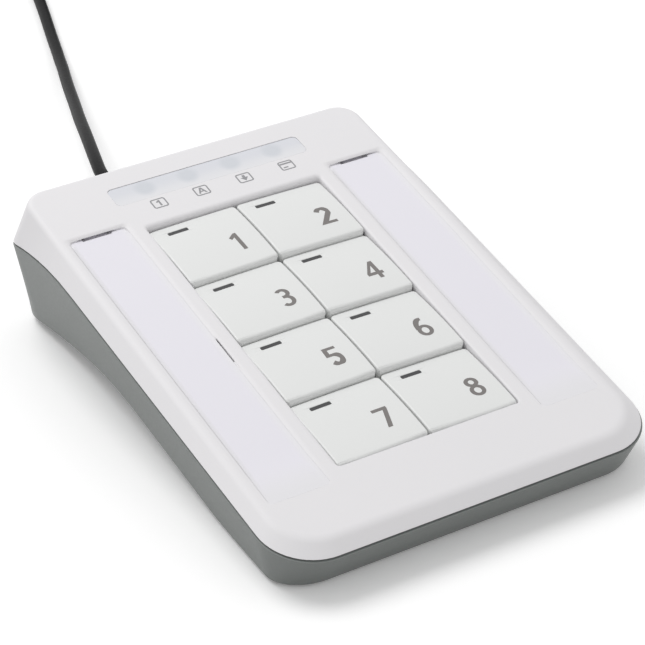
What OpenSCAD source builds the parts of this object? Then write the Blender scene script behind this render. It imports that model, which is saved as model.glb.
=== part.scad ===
// Desktop numeric keypad: a sloping two-part case with eight large keys in two columns,
// a label pocket on each side, an indicator window along the back and a cord with a plug.
// Frame: +X right, +Y away from the user, +Z up, origin on the desk under the case's centre.

/* [Case] */
// Width of the case at the parting line
body_w = 88.2; // [86:0.2:94]
// Length of the case seen from above
body_l = 119; // [117:0.5:128]
// Height of the deck's rear edge above the desk
body_h = 32.3; // [31.6:0.1:36]
// Height of the parting line at the front of the case
front_h = 8.85; // [8.2:0.05:10]
// How far the rear wall stands out behind the deck's rear edge
rear_overhang = 2.88; // [2.4:0.02:3.6]
// Wall thickness of both covers
wall = 2; // [1.6:0.1:2.1]
// Gap between the two covers at the parting line
seam_gap = 0.3; // [0.1:0.05:0.5]

/* [Case outline] */
// Width of the sloping flank beside the deck
flank_w = 3.3; // [2.6:0.1:4]
// Length of the slope in front of the deck
front_slope_l = 3.8; // [3:0.1:5]
// Depth of the parting line below the deck at the front
seam_front = 2.1; // [2:0.1:2.8]
// Depth of the parting line below the deck at mid length
seam_mid = 3.6; // [3.2:0.1:4.4]
// Depth of the parting line below the deck at the rear
seam_rear = 11.6; // [9:0.2:13]
// Distance from the rear edge at which the parting line starts to drop
seam_bend = 30; // [24:1:40]
// Corner radius at the front of the case
corner_front = 11.6; // [9:0.2:14]
// Corner radius at the rear of the case
corner_rear = 6; // [5:0.2:8]
// Rounding of the deck's edge
edge_round = 1.1; // [0.8:0.1:2]
// Inward slope of the lower side walls, in degrees
side_draft = 12; // [8:0.5:14]
// Inward slope of the lower front wall, in degrees
front_draft = 28; // [20:1:32]

/* [Underside] */
// Length of the flat sole at the front
sole_l = 29.4; // [24:0.2:32]
// How much flatter the arch under the case is than the deck, in degrees
arch_ease = 0.4; // [0:0.1:1]
// Radius at the top of the arch
arch_r = 60; // [40:1:80]
// Radius of a rubber foot
foot_r = 4; // [3:0.1:5]
// How far the front feet stand out of the sole
foot_out = 0.5; // [0.4:0.1:0.8]

/* [Keys] */
// Width of a key
key_w = 20.6; // [18.5:0.1:20.8]
// Depth of a key from its rear edge to its front wall
key_d = 19.05; // [17:0.05:19.2]
// Gap between the two columns
key_gap_x = 0.7; // [0.6:0.1:1.4]
// Gap between two rows
key_gap_y = 0.6; // [0.5:0.05:1]
// Distance from the deck's rear edge to the first row
first_row = 20.7; // [20:0.1:22]
// Travel of a key
key_travel = 2; // [1.5:0.1:2]
// How far a key's rear edge lies below the deck
key_rear_drop = 0.95; // [0.7:0.01:1.2]
// How far a key's front crest stands above the deck
key_crest = 0.2; // [0.1:0.05:0.4]
// Wall thickness of a key
key_wall = 1.3; // [1:0.1:1.5]
// Width of the light bar in a key
bar_w = 4.8; // [3.6:0.1:5.6]

/* [Label pockets] */
// Distance from the deck's rear edge to a label pocket
label_rear = 17.7; // [17:0.1:19]
// Length of a label pocket
label_l = 84.8; // [80:0.2:86]
// Depth of a label pocket at its rear end
label_depth = 1.7; // [1.5:0.05:1.8]
// Thickness of the clear label cover
label_cover_t = 0.8; // [0.6:0.05:0.9]
// Thickness of the paper label card
card_t = 0.25; // [0.15:0.05:0.3]

/* [Indicator window] */
// Width of the indicator window
window_w = 47; // [44:0.5:50]
// Depth of the indicator window, front to back
window_d = 5.9; // [5:0.1:6.5]
// Distance from the deck's rear edge to the indicator window
window_rear = 6; // [5:0.1:6.6]
// Spacing of the indicator lamps
led_pitch = 10.5; // [9.5:0.1:11.5]

/* [Board] */
// Thickness of the circuit board
board_t = 1.6; // [1.2:0.1:1.6]
// Board material outside a screw's centre
board_margin = 2.5; // [2.2:0.1:3]
// Thickness of the key guide plate
guide_t = 1.4; // [1.2:0.1:1.5]
// Thickness of the silicone dome sheet
sheet_t = 0.7; // [0.5:0.05:0.8]

/* [Cord] */
// Diameter of the cord
cord_d = 3; // [2.2:0.1:3.4]
// Distance of the cord's exit below the deck's rear edge
exit_drop = 15.3; // [14:0.1:17]
// Sideways place of the cord's exit
exit_x = -10; // [-16:0.5:16]
// Length of the strain relief outside the case
relief_l = 18; // [16:0.5:24]

/* [Hidden] */
$fn = 48;
KEYS = [1, 2, 3, 4, 5, 6, 7, 8];

// Colours
white_abs = "#e9e9eb";
grey_abs = "#848886";
black = "#2e2e2e";
steel = "#c4c6c8";

// Running and seating clearances
slip = 0.1;
touch = 0.02;
soft_gap = 0.05;
hole_play = 0.15;

// Deck frame: y = 0 at the deck's rear edge and negative towards the user, z along its normal
seam_hw = body_w / 2;
deck_hw = seam_hw - flank_w;
run = body_l - rear_overhang;
drop = body_h - front_h;
deck_tilt = atan(drop / run) - asin(seam_front / norm([drop, run]));
rear_y = body_l / 2 - rear_overhang;
seam_out = (rear_overhang - seam_rear * sin(deck_tilt)) / cos(deck_tilt);
seam_front_y = -(body_l / 2 + rear_y + seam_front * sin(deck_tilt)) / cos(deck_tilt);
deck_l = -seam_front_y - front_slope_l;
seam_curve = (seam_rear - seam_mid) / pow(seam_bend + seam_out, 2);

function to_case(p) = [p.x,
  rear_y + p.y * cos(deck_tilt) - p.z * sin(deck_tilt),
  body_h + p.y * sin(deck_tilt) + p.z * cos(deck_tilt)];

// Height of the parting line at a place along the deck
function seam_z(y) =
  -seam_front
  - (seam_mid - seam_front) * min(1, max(0, (y - seam_front_y) / (-seam_bend - seam_front_y)))
  - (y > -seam_bend ? seam_curve * pow(y + seam_bend, 2) : 0);

// Case outline as [x, y, outward x, outward y], clockwise from the middle of the rear
exit_h = body_h - exit_drop;
corner_steps = 7;
side_steps = 9;
function corner(x, y, r, a0, a1) = [for (i = [0:corner_steps]) let (a = a0 + (a1 - a0) * i / corner_steps)
  [x + r * cos(a), y + r * sin(a), cos(a), sin(a)]];
function side_y(y0, y1, i) = y0 + (y1 - y0) * pow(i / side_steps, 1.7);
function outline(hw, y0, y1, r0, r1) = concat(
  corner(hw - r0, y0 - r0, r0, 90, 0),
  [for (i = [1:side_steps - 1]) [hw, side_y(y0 - r0, y1 + r1, i), 1, 0]],
  corner(hw - r1, y1 + r1, r1, 0, -90),
  corner(r1 - hw, y1 + r1, r1, -90, -180),
  [for (i = [side_steps - 1:-1:1]) [-hw, side_y(y0 - r0, y1 + r1, i), -1, 0]],
  corner(r0 - hw, y0 - r0, r0, 180, 90));

deck_corner_front = corner_front - 2;
deck_corner_rear = corner_rear - 1;
function deck_ring(inset, z) = [for (p = outline(deck_hw - inset, -inset, inset - deck_l,
  deck_corner_rear - inset, deck_corner_front - inset)) [p.x, p.y, z]];
function seam_outline(inset) = outline(seam_hw - inset, seam_out - inset, seam_front_y + inset,
  corner_rear - inset, corner_front - inset);
function seam_ring(inset) = [for (p = seam_outline(inset))
  [p.x, p.y, inset > 0 ? min(seam_z(p.y), -inset - 0.2) : seam_z(p.y)]];
rear_draft = 1;
function draft_of(out_y) = out_y < 0 ? tan(front_draft) : tan(rear_draft);
// The lower ring leans in from the parting line down to one level
function low_ring(inset) = let (o = seam_outline(inset), low = foot_out + inset)
  [for (i = [0:len(o) - 1]) let (p = to_case(seam_ring(inset)[i]), drop = p.z - low)
    [p.x - o[i][2] * tan(side_draft) * drop, p.y - o[i][3] * draft_of(o[i][3]) * drop, low]];
function in_case(ring) = [for (p = ring) to_case(p)];
function part_way(a, b, d) = a + (b - a) * d / norm(b - a);

module loft(rings) {
  n = len(rings[0]);
  m = len(rings);
  sides = [for (j = [0:m - 2], i = [0:n - 1]) let (k = (i + 1) % n)
    each [[j * n + k, j * n + i, (j + 1) * n + i], [j * n + k, (j + 1) * n + i, (j + 1) * n + k]]];
  polyhedron(points = [for (r = rings) each r],
    faces = concat([[for (i = [0:n - 1]) i]], sides, [[for (i = [n - 1:-1:0]) (m - 1) * n + i]]));
}

// The whole case's outer form, or the hollow inside it at a given wall thickness
module case_form(inset) {
  top = deck_ring(inset, -inset);
  mid = seam_ring(inset);
  if (inset > 0) loft([in_case(top), in_case(mid), low_ring(inset)]);
  else loft([in_case(deck_ring(edge_round, 0)),
    in_case([for (i = [0:len(top) - 1]) top[i] + [0, 0, -0.155 * edge_round]]),
    in_case([for (i = [0:len(top) - 1]) part_way(top[i], mid[i], edge_round)]),
    in_case(mid), low_ring(0)]);
}

module on_deck() {
  translate([0, rear_y, body_h]) rotate([deck_tilt, 0, 0]) children();
}
// A profile in the Y-Z plane, extruded across X
module across(w) {
  rotate([90, 0, 90]) linear_extrude(w, center = true) children();
}
// A block given by its low and high corners
module block(lo, hi) {
  translate(lo) cube(hi - lo);
}

// Everything above the parting line (side = 1) or below it (side = -1)
far = 2 * body_h;
module seam_side(side) {
  steps = 20;
  y0 = seam_front_y - 6;
  y1 = seam_out + 6;
  edge = [for (i = [0:steps]) let (y = y0 + (y1 - y0) * i / steps)
    [y, seam_z(y) + side * seam_gap / 2]];
  on_deck() across(2 * far) polygon(concat([[y0, side * far]], edge, [[y1, side * far]]));
}

// Underside: a flat sole at the front, then an arch up and down to the rear edge
arch_slope = deck_tilt - arch_ease;
arch_front = -body_l / 2 + sole_l;
arch_rear = body_l / 2 + 1.5;
arch_cy = (arch_front + arch_rear) / 2;
arch_cz = foot_out + tan(arch_slope) * (arch_cy - arch_front) - arch_r / cos(arch_slope);
arch_reach = arch_r * sin(arch_slope);
function underside(y) =
  y < arch_front ? foot_out
  : abs(y - arch_cy) < arch_reach ? arch_cz + sqrt(pow(arch_r, 2) - pow(y - arch_cy, 2))
  : foot_out + tan(arch_slope) * (y < arch_cy ? y - arch_front : arch_rear - y);
module arch(raise) {
  arc = [for (a = [90 + arch_slope:-arch_slope / 5:90 - arch_slope])
    [arch_cy + arch_r * cos(a), arch_cz + arch_r * sin(a) + raise]];
  across(2 * body_w) polygon(concat([[arch_front, -far], [arch_front, foot_out + raise]], arc,
    [[arch_rear, foot_out + raise], [arch_rear, -far]]));
}

// Key field
pitch_x = key_w + key_gap_x;
pitch_y = key_d + key_gap_y;
field_l = 4 * pitch_y - key_gap_y;
side_gap = 0.35;
opening_hw = pitch_x - key_gap_x / 2 + side_gap;
rear_gap = 0.4;
front_gap = 0.3;
rim_l = 1.1;
rim_drop = key_rear_drop - 0.1;
opening_rear = -first_row + rear_gap;
opening_front = -first_row - field_l - front_gap;
function key_place(k) = [((k - 1) % 2 - 0.5) * pitch_x, -first_row - floor((k - 1) / 2) * pitch_y, 0];

// Levels below the deck
skirt_z = -3;
guide_top = skirt_z - key_travel - 0.2;
guide_low = guide_top - guide_t;
hook_l = 1;
hook_z = guide_low - slip;
leg_z = hook_z - hook_l;
sheet_top = leg_z - key_travel - 0.15;
board_top = sheet_top - sheet_t;
board_low = board_top - board_t;
stem_z = sheet_top + key_travel + 0.1;
key_ceiling = -key_rear_drop - key_wall;
collar_t = 1.2;

// Label pockets, for the right side
label_in = opening_hw + 3.5;
label_out = deck_hw - 2.2;
label_mid = (label_in + label_out) / 2;
label_in_slope = 0.8;
label_out_slope = 1.2;
label_front_depth = label_depth - 0.5;
label_fall = atan((label_depth - label_front_depth) / label_l);
tray_t = 1.5;
tray_low = -label_depth - tray_t;
slot_w = 7;
slot_h = label_cover_t + 0.45;
slot_l = 1.5;
notch_l = 7.7;
notch_mid = -label_rear - label_l / 2;

// Screws
board_screw_x = label_mid - 2.2;
board_hw = board_screw_x + board_margin;
board_screw_y = [-first_row - 0.25 * pitch_y, -first_row - 2 * pitch_y, -first_row - 3.45 * pitch_y];
board_screw_r = 1;
board_screw_head = 1;
board_screw_head_r = 1.9;
head_room = 0.25;
board_boss_r = 2.6;
case_screw_r = 1.25;
case_head_r = 2.4;
case_head_h = 1.6;
case_boss_r = 3;
front_screw = [seam_hw - 9.1, -body_l / 2 + 11, 0];
rear_screw = [board_hw + 4.5, rear_y - 9.2, 0];
front_joint_z = front_h - 2.35;
rear_joint_z = body_h - 20.3;
front_bite = 3;
rear_bite = 7;
case_head_in = 1.4;

front_foot = [33, -body_l / 2 + 21, 0];
screw_to_foot = 3.6;
rear_foot = [rear_screw.x - case_head_r - screw_to_foot - foot_r, body_l / 2 - 9.5, 0];
foot_seat = 0.9;

// Board outline: the front edge stays clear of the sole
board_rear = -4.5;
board_front = max(opening_front + 2.7,
  -(body_h + board_low * cos(deck_tilt) - foot_out - wall - 0.35) / sin(deck_tilt));
led_y = -window_rear - 2.4;
led_x = [for (i = [0:3]) (i - 1.5) * led_pitch + 0.4];
led_r = 1.5;
lamp_top = -2.6 - 0.5;

// Light bar and its lamp, from a key's rear edge and left side
bar_inset = 3.4;
bar_x = bar_inset + bar_w / 2 - key_w / 2;
bar_y = -2.75;
bar_d = 1.05;

function mirrored(p, s) = [s * p.x, p.y, p.z];
module both_sides() {
  children();
  mirror([1, 0, 0]) children();
}

module label_pocket() {
  on_deck() intersection() {
    across(4 * body_w) polygon([[-label_rear, 1], [-label_rear, -label_depth],
      [-label_rear - label_l, -label_front_depth], [-label_rear - label_l, 1]]);
    rotate([90, 0, 0]) linear_extrude(2 * body_l) polygon([
      [label_in - label_in_slope * 0.6, 1], [label_in, 0], [label_in + label_in_slope, -label_depth],
      [label_out - label_out_slope, -label_depth], [label_out, 0], [label_out + label_out_slope * 0.6, 1]]);
  }
}

module top_cover() {
  color(white_abs) difference() {
    union() {
      intersection() {
        difference() {
          case_form(0);
          case_form(wall);
        }
        seam_side(1);
      }
      // tray under each label pocket and the collar round the keys
      on_deck() both_sides()
        block([label_in - 1, -label_rear - label_l - 1.2, tray_low],
          [label_out + 1, slot_l + 1 - label_rear, -wall / 2]);
      on_deck() difference() {
        block([-opening_hw - collar_t, opening_front - collar_t, skirt_z - 0.6],
          [opening_hw + collar_t, opening_rear + collar_t, -wall / 2]);
        key_opening();
      }
      // posts for the board screws
      on_deck() both_sides() for (y = board_screw_y) translate([board_screw_x, y, guide_top])
        cylinder(r = board_boss_r, h = tray_low - guide_top + 0.5);
      // posts for the case screws
      intersection() {
        both_sides() {
          translate(front_screw + [0, 0, front_joint_z]) cylinder(r = case_boss_r, h = body_h);
          translate(rear_screw + [0, 0, rear_joint_z]) cylinder(r = case_boss_r, h = body_h);
        }
        on_deck() block([-body_w, -2 * body_l, -body_h], [body_w, body_l, -wall / 2]);
      }
    }
    on_deck() key_opening();
    on_deck() block([-window_w / 2, -window_rear - window_d, -2 * wall], [window_w / 2, -window_rear, 1]);
    both_sides() {
      label_pocket();
      // slot for the label cover's tab, and the nail notch beside it
      on_deck() block([label_mid - slot_w / 2, -label_rear - 0.5, -label_depth],
        [label_mid + slot_w / 2, slot_l - label_rear, slot_h - label_depth]);
      on_deck() block([label_in - 0.6, notch_mid - notch_l / 2, -label_front_depth],
        [label_in + 0.5, notch_mid + notch_l / 2, 1]);
      on_deck() for (y = board_screw_y) translate([board_screw_x, y, guide_top - 1])
        cylinder(r = board_screw_r + soft_gap, h = tray_low + 0.7 - guide_top + 1);
      translate(front_screw + [0, 0, front_joint_z - 1])
        cylinder(r = case_screw_r + soft_gap, h = front_bite + 2);
      translate(rear_screw + [0, 0, rear_joint_z - 1])
        cylinder(r = case_screw_r + soft_gap, h = rear_bite + 2);
    }
  }
}
// The deck's rear rim slopes down to the first row's rear edge
module key_opening() {
  block([-opening_hw, opening_front, -2 * wall - 8], [opening_hw, opening_rear, 5]);
  across(2 * opening_hw) polygon([[opening_rear - 1, -rim_drop], [opening_rear, -rim_drop],
    [opening_rear + rim_l, 0], [opening_rear + rim_l, 1], [opening_rear - 1, 1]]);
}

module bottom_cover() {
  prop_y = [for (r = [0.5, 1.5, 2.5]) -first_row - r * pitch_y];
  prop_r = 1.6;
  color(grey_abs) difference() {
    union() {
      difference() {
        intersection() {
          case_form(0);
          seam_side(-1);
        }
        difference() {
          case_form(wall);
          arch(wall);
        }
      }
      both_sides() {
        translate(front_screw + [0, 0, foot_out])
          cylinder(r = case_boss_r, h = front_joint_z - touch - foot_out);
        translate(rear_screw + [0, 0, foot_out])
          cylinder(r = case_boss_r, h = rear_joint_z - touch - foot_out);
        translate(rear_foot + [0, 0, foot_out])
          cylinder(r = foot_r + 1.5, h = underside(rear_foot.y) + 1.5);
      }
      // props that back the board between the rows of keys
      intersection() {
        on_deck() for (y = prop_y) translate([0, y, board_low - touch - body_h])
          cylinder(r = prop_r, h = body_h);
        case_form(wall / 2);
      }
    }
    arch(0);
    both_sides() {
      translate(front_screw - [0, 0, 1]) screw_hole(foot_out + case_head_in + case_head_h);
      translate(rear_screw - [0, 0, 1])
        screw_hole(underside(rear_screw.y) + case_head_in + case_head_h);
      translate(front_foot - [0, 0, 1]) cylinder(r = foot_r + soft_gap, h = 1 + foot_out + foot_seat);
      translate(rear_foot - [0, 0, 1])
        cylinder(r = foot_r + soft_gap, h = 1 + underside(rear_foot.y) + foot_seat);
    }
    // room for the heads of the board screws
    on_deck() both_sides() for (y = board_screw_y)
      translate([board_screw_x, y, board_low - board_screw_head - head_room])
        cylinder(r = board_screw_head_r + head_room, h = board_screw_head + head_room - touch);
    translate([exit_x, body_l / 2 - 3 * wall, exit_h]) rotate([-90, 0, 0]) {
      cylinder(r = relief_neck_r + soft_gap, h = 6 * wall);
      cylinder(r = relief_flange_r + slip, h = wall_inner_y - body_l / 2 + 3 * wall);
    }
  }
}
// A counterbored hole that starts 1 mm under the desk line; seat is the head's upper level
module screw_hole(seat) {
  cylinder(r = case_head_r + slip, h = seat + 1 + touch);
  cylinder(r = case_screw_r + hole_play, h = body_h);
}

module led_window() {
  low = -wall - 0.8;
  color([0.78, 0.8, 0.86, 0.85]) on_deck() {
    across(window_w - 2 * soft_gap) polygon([
      [-window_rear - soft_gap, -0.55], [-window_rear - soft_gap, low],
      [soft_gap - window_rear - window_d, low], [soft_gap - window_rear - window_d, -0.05]]);
    block([-window_w / 2 - 1.2, -window_rear - window_d - 1.2, low],
      [window_w / 2 + 1.2, 1.2 - window_rear, -wall - touch]);
  }
}

key_corner = 1;
// Side profile of a key: a slightly domed top that climbs from the rear edge to a rounded front
key_nose = 1.2;
key_bulge = 0.33;
function key_top(y) = let (t = -y / (key_d - key_nose))
  -key_rear_drop + (key_crest + key_rear_drop) * t + 4 * key_bulge * t * (1 - t);
module key_profile() {
  crest_y = key_nose - key_d;
  top = [for (i = [0:8]) let (y = crest_y * i / 8) [y, key_top(y)]];
  nose = [for (a = [112.5:22.5:180]) [crest_y + key_nose * cos(a), key_crest + key_nose * (sin(a) - 1)]];
  polygon(concat([[0, skirt_z]], top, nose, [[-key_d, skirt_z]]));
}
module rounded_plan(w, d, r) {
  square([w - 2 * r, d], center = true);
  square([w, d - 2 * r], center = true);
  for (x = [r - w / 2, w / 2 - r], y = [r - d / 2, d / 2 - r])
    translate([x, y]) circle(r = r, $fn = 24);
}
module key_solid() {
  intersection() {
    across(key_w) key_profile();
    translate([0, -key_d / 2, 2 * skirt_z]) linear_extrude(-4 * skirt_z)
      rounded_plan(key_w, key_d, key_corner);
  }
}
module light_bar_space() {
  block([bar_x - bar_w / 2, bar_y - bar_d / 2, key_ceiling - 0.4],
    [bar_x + bar_w / 2, bar_y + bar_d / 2, 3]);
}
stem_w = 5.5;
stem_t = 1.6;
leg_x = 7.5;
leg_t = 1.2;
leg_w = 4;
hook_out = 0.8;
module key(k) {
  mid_y = -key_d / 2;
  color(white_abs) on_deck() translate(key_place(k)) {
    difference() {
      key_solid();
      block([key_wall - key_w / 2, key_wall - key_d, skirt_z - 1],
        [key_w / 2 - key_wall, -key_wall, key_ceiling]);
      light_bar_space();
    }
    block([-stem_w / 2, mid_y - stem_t / 2, stem_z], [stem_w / 2, mid_y + stem_t / 2, key_ceiling + 0.3]);
    block([-stem_t / 2, mid_y - stem_w / 2, stem_z], [stem_t / 2, mid_y + stem_w / 2, key_ceiling + 0.3]);
    for (s = [-1, 1]) across_leg(s, mid_y);
  }
}
module across_leg(s, mid_y) {
  x = s * leg_x;
  block([x - leg_t / 2, mid_y - leg_w / 2, leg_z], [x + leg_t / 2, mid_y + leg_w / 2, key_ceiling + 0.3]);
  block([x + (s > 0 ? 0 : -leg_t / 2 - hook_out), mid_y - leg_w / 2, leg_z],
    [x + (s > 0 ? leg_t / 2 + hook_out : 0), mid_y + leg_w / 2, hook_z]);
}
module light_bar(k) {
  color("#4a4a4d") on_deck() translate(key_place(k)) intersection() {
    light_bar_space();
    key_solid();
  }
}

// Label cover: a clear strip hooked under the deck by its rear tab; the card lies beneath it
label_side = 0.2;
label_end = 0.3;
// A strip whose sides lean with the pocket's walls
module label_strip(low, high) {
  function lean(z) = 1 - z / label_depth;
  function inner(z) = label_in + label_in_slope * lean(z) + label_side;
  function outer(z) = label_out - label_out_slope * lean(z) - label_side;
  on_deck() translate([0, -label_rear, -label_depth]) rotate([90 - label_fall, 0, 0])
    translate([0, 0, label_end]) linear_extrude(label_l - 2 * label_end)
      polygon([[inner(low), low], [outer(low), low], [outer(high), high], [inner(high), high]]);
}
module label_card(s) {
  color("#f4f2f4") scale_side(s) label_strip(touch, touch + card_t);
}
module label_cover(s) {
  low = 2 * touch + card_t;
  tab_l = 1;
  tab_round = label_cover_t / 2;
  color([0.9, 0.88, 0.94, 0.5]) scale_side(s) {
    label_strip(low, low + label_cover_t);
    on_deck() translate([label_mid, -label_rear, low - label_depth]) {
      block([1 - slot_w / 2, -label_end - 0.3, 0], [slot_w / 2 - 1, tab_l - tab_round, label_cover_t]);
      translate([0, tab_l - tab_round, tab_round]) rotate([0, 90, 0])
        cylinder(r = tab_round, h = slot_w - 2, center = true);
    }
  }
}
module scale_side(s) {
  mirror([s < 0 ? 1 : 0, 0, 0]) children();
}

module key_guide() {
  mid_y = -key_d / 2;
  hole = stem_w + 2 * slip;
  sleeve = hole + 2.4;
  color("#d9dadb") on_deck() difference() {
    union() {
      block([-board_hw - 1, opening_front - 1.5, guide_low],
        [board_hw + 1, opening_rear + 2.5, guide_top]);
      for (k = KEYS) translate(key_place(k))
        block([-sleeve / 2, mid_y - sleeve / 2, guide_low],
          [sleeve / 2, mid_y + sleeve / 2, guide_top + 0.8]);
      both_sides() for (y = board_screw_y) translate([board_screw_x, y, board_top + touch])
        cylinder(r = board_boss_r, h = guide_top - board_top - 0.5);
    }
    for (k = KEYS) translate(key_place(k)) {
      block([-hole / 2, mid_y - hole / 2, guide_low - 1], [hole / 2, mid_y + hole / 2, guide_top + 1]);
      for (s = [-1, 1]) block([s * leg_x - leg_t / 2 - 0.15, mid_y - leg_w / 2 - 0.15, guide_low - 1],
        [s * leg_x + leg_t / 2 + 0.15, mid_y + leg_w / 2 + 0.15, guide_top + 1]);
      block([bar_x - bar_w / 2, bar_y - 1.1, guide_low - 1], [bar_x + bar_w / 2, bar_y + 1.1, guide_top + 1]);
    }
    both_sides() for (y = board_screw_y) translate([board_screw_x, y, board_low])
      cylinder(r = board_screw_r + hole_play, h = far);
  }
}

// Silicone sheet with one hollow dome under each key and a window over each key lamp
dome_r = 4.2;
dome_wall = 0.8;
plunger_r = 2.3;
dome_h = stem_z - soft_gap - sheet_top;
module dome_sheet() {
  cone_h = dome_h - 0.5;
  color("#c9ccd0") on_deck() difference() {
    union() {
      block([-opening_hw, board_front + 0.3, board_top + touch], [opening_hw, 2 - first_row, sheet_top]);
      for (k = KEYS) translate(key_place(k)) translate([0, -key_d / 2, sheet_top - touch]) {
        cylinder(r1 = dome_r, r2 = plunger_r, h = cone_h + touch);
        cylinder(r = plunger_r, h = dome_h + touch);
      }
    }
    for (k = KEYS) translate(key_place(k)) {
      translate([0, -key_d / 2, board_top - 1]) cylinder(r = dome_r - dome_wall, h = 1 + sheet_t);
      translate([0, -key_d / 2, sheet_top - touch])
        cylinder(r1 = dome_r - dome_wall, r2 = plunger_r - 0.4, h = cone_h - dome_wall);
      block([bar_x - 1.6, bar_y - 1.1, board_top - 1], [bar_x + 1.6, bar_y + 1.1, sheet_top + 1]);
    }
  }
}

module circuit_board() {
  color("#2f6b45") on_deck() difference() {
    block([-board_hw, board_front, board_low], [board_hw, board_rear, board_top]);
    both_sides() for (y = board_screw_y) translate([board_screw_x, y, board_low - 1])
      cylinder(r = board_screw_r + hole_play, h = board_t + 2);
  }
}
module led_spacers() {
  color("#1f2022") on_deck() for (x = led_x) translate([x, led_y, board_top + touch])
    cylinder(r = led_r + 0.4, h = lamp_top - 4.3 - board_top);
}
module indicator_leds() {
  low = lamp_top - 4.3 + 2 * touch;
  color([0.86, 0.9, 0.92, 0.9]) on_deck() for (x = led_x) translate([x, led_y, low]) {
    cylinder(r = led_r + 0.4, h = 1);
    cylinder(r = led_r, h = lamp_top - led_r - low);
    translate([0, 0, lamp_top - led_r - low]) sphere(r = led_r);
  }
}
module key_leds() {
  color("#e8e2c4") on_deck() for (k = KEYS) translate(key_place(k))
    block([bar_x - 0.8, bar_y - 0.4, board_top + touch], [bar_x + 0.8, bar_y + 0.4, board_top + 0.75]);
}

// Parts soldered under the rear of the board
chip_at = [10, board_rear - 11];
chip_w = 10;
chip_t = 1.4;
module controller_chip() {
  pins = 11;
  pin_pitch = 0.8;
  pin_out = 1;
  color("#26272a") on_deck() translate([chip_at.x, chip_at.y, board_low]) {
    block([-chip_w / 2, -chip_w / 2, -chip_t - 0.1], [chip_w / 2, chip_w / 2, -0.1]);
    for (q = [0:3], i = [0:pins - 1]) rotate([0, 0, 90 * q])
      translate([chip_w / 2, (i - (pins - 1) / 2) * pin_pitch, 0])
        block([-0.2, -0.15, -0.5], [pin_out, 0.15, -touch]);
  }
}
module crystal() {
  color(steel) on_deck() translate([chip_at.x + 12, chip_at.y, board_low - touch - 3]) {
    linear_extrude(2.6) rounded_plan(3.8, 10, 1.8);
    translate([0, 0, 2.6]) linear_extrude(0.4) rounded_plan(4.4, 10.6, 2.1);
  }
}
module small_parts() {
  places = [[0, 3], [0, -1], [0, -5], [17, 5], [17, 1], [17, -3], [4, -9], [8, -9], [12, -9], [-6, 8]];
  color("#8d7a5c") on_deck() for (p = places) translate([chip_at.x + p.x, chip_at.y + p.y, board_low])
    if (p.x != 0) block([-1, -0.6, -0.7], [1, 0.6, -touch]);
    else translate([-chip_w / 2 - 3.5, 0, 0]) block([-0.6, -1, -0.7], [0.6, 1, -touch]);
}
header_w = 9;
header_rear = -11;
header_l = 6;
header_h = 4.6;
module cord_header() {
  color("#ece9de") on_deck() difference() {
    block([exit_x - header_w / 2, header_rear - header_l, board_low - header_h],
      [exit_x + header_w / 2, header_rear, board_low - touch]);
    block([exit_x - header_w / 2 + 0.8, header_rear - header_l + 1.2, board_low - header_h + 0.8],
      [exit_x + header_w / 2 - 0.8, header_rear + 1, board_low - 0.8]);
  }
}
connector_rear = header_rear + 2.2;
module cord_connector() {
  color("#f1efe7") on_deck()
    block([exit_x - header_w / 2 + 0.85, header_rear - header_l + 1.25, board_low - header_h + 0.85],
      [exit_x + header_w / 2 - 0.85, connector_rear, board_low - 0.85]);
}

// A tube swept along a list of points, with one ring of sides at each point
function unit(v) = v / norm(v);
function heading(pts, i) = unit(pts[min(i + 1, len(pts) - 1)] - pts[max(i - 1, 0)]);
module tube(pts, d, sides = 8) {
  n = len(pts);
  rings = [for (i = [0:n - 1]) let (t = heading(pts, i), u = unit(cross([0, 0, 1], t)), v = cross(t, u))
    for (s = [0:sides - 1]) pts[i] + d / 2 * (cos(360 * s / sides) * u + sin(360 * s / sides) * v)];
  walls = [for (i = [0:n - 2], s = [0:sides - 1]) let (k = (s + 1) % sides)
    each [[i * sides + s, (i + 1) * sides + s, (i + 1) * sides + k],
      [i * sides + s, (i + 1) * sides + k, i * sides + k]]];
  polyhedron(points = rings, faces = concat([[for (s = [0:sides - 1]) s]], walls,
    [[for (s = [sides - 1:-1:0]) (n - 1) * sides + s]]));
}

relief_neck_r = cord_d / 2 + 1.3;
relief_flange_r = relief_neck_r + 1.6;
relief_end_r = cord_d / 2 + 0.25;
wall_outer_y = body_l / 2 - tan(rear_draft) * (to_case([0, seam_out, -seam_rear]).z - exit_h);
spot_face = 0.3;
wall_inner_y = wall_outer_y - wall + spot_face;
flange_t = 1.5;
neck_l = wall - spot_face + 0.1;
collar_l = 1.6;
relief_tip_y = wall_outer_y + relief_l;
module strain_relief() {
  color(black) translate([exit_x, wall_inner_y - flange_t, exit_h]) rotate([-90, 0, 0]) {
    cylinder(r = relief_flange_r, h = flange_t - soft_gap);
    cylinder(r = relief_neck_r, h = flange_t + neck_l);
    translate([0, 0, flange_t + neck_l]) {
      cylinder(r = relief_neck_r + 0.4, h = collar_l);
      translate([0, 0, collar_l])
        cylinder(r1 = relief_neck_r, r2 = relief_end_r, h = relief_l - collar_l - 0.1);
    }
  }
}
inner_l = 2.5;
inner_tip_y = wall_inner_y - flange_t - inner_l;
module cord_inner() {
  color(black) translate([exit_x, inner_tip_y, exit_h]) rotate([-90, 0, 0])
    cylinder(r = cord_d / 2, h = inner_l - touch);
}
lead_d = 0.8;
lead_pitch = 0.95;
lead_in = 0.4;
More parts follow.
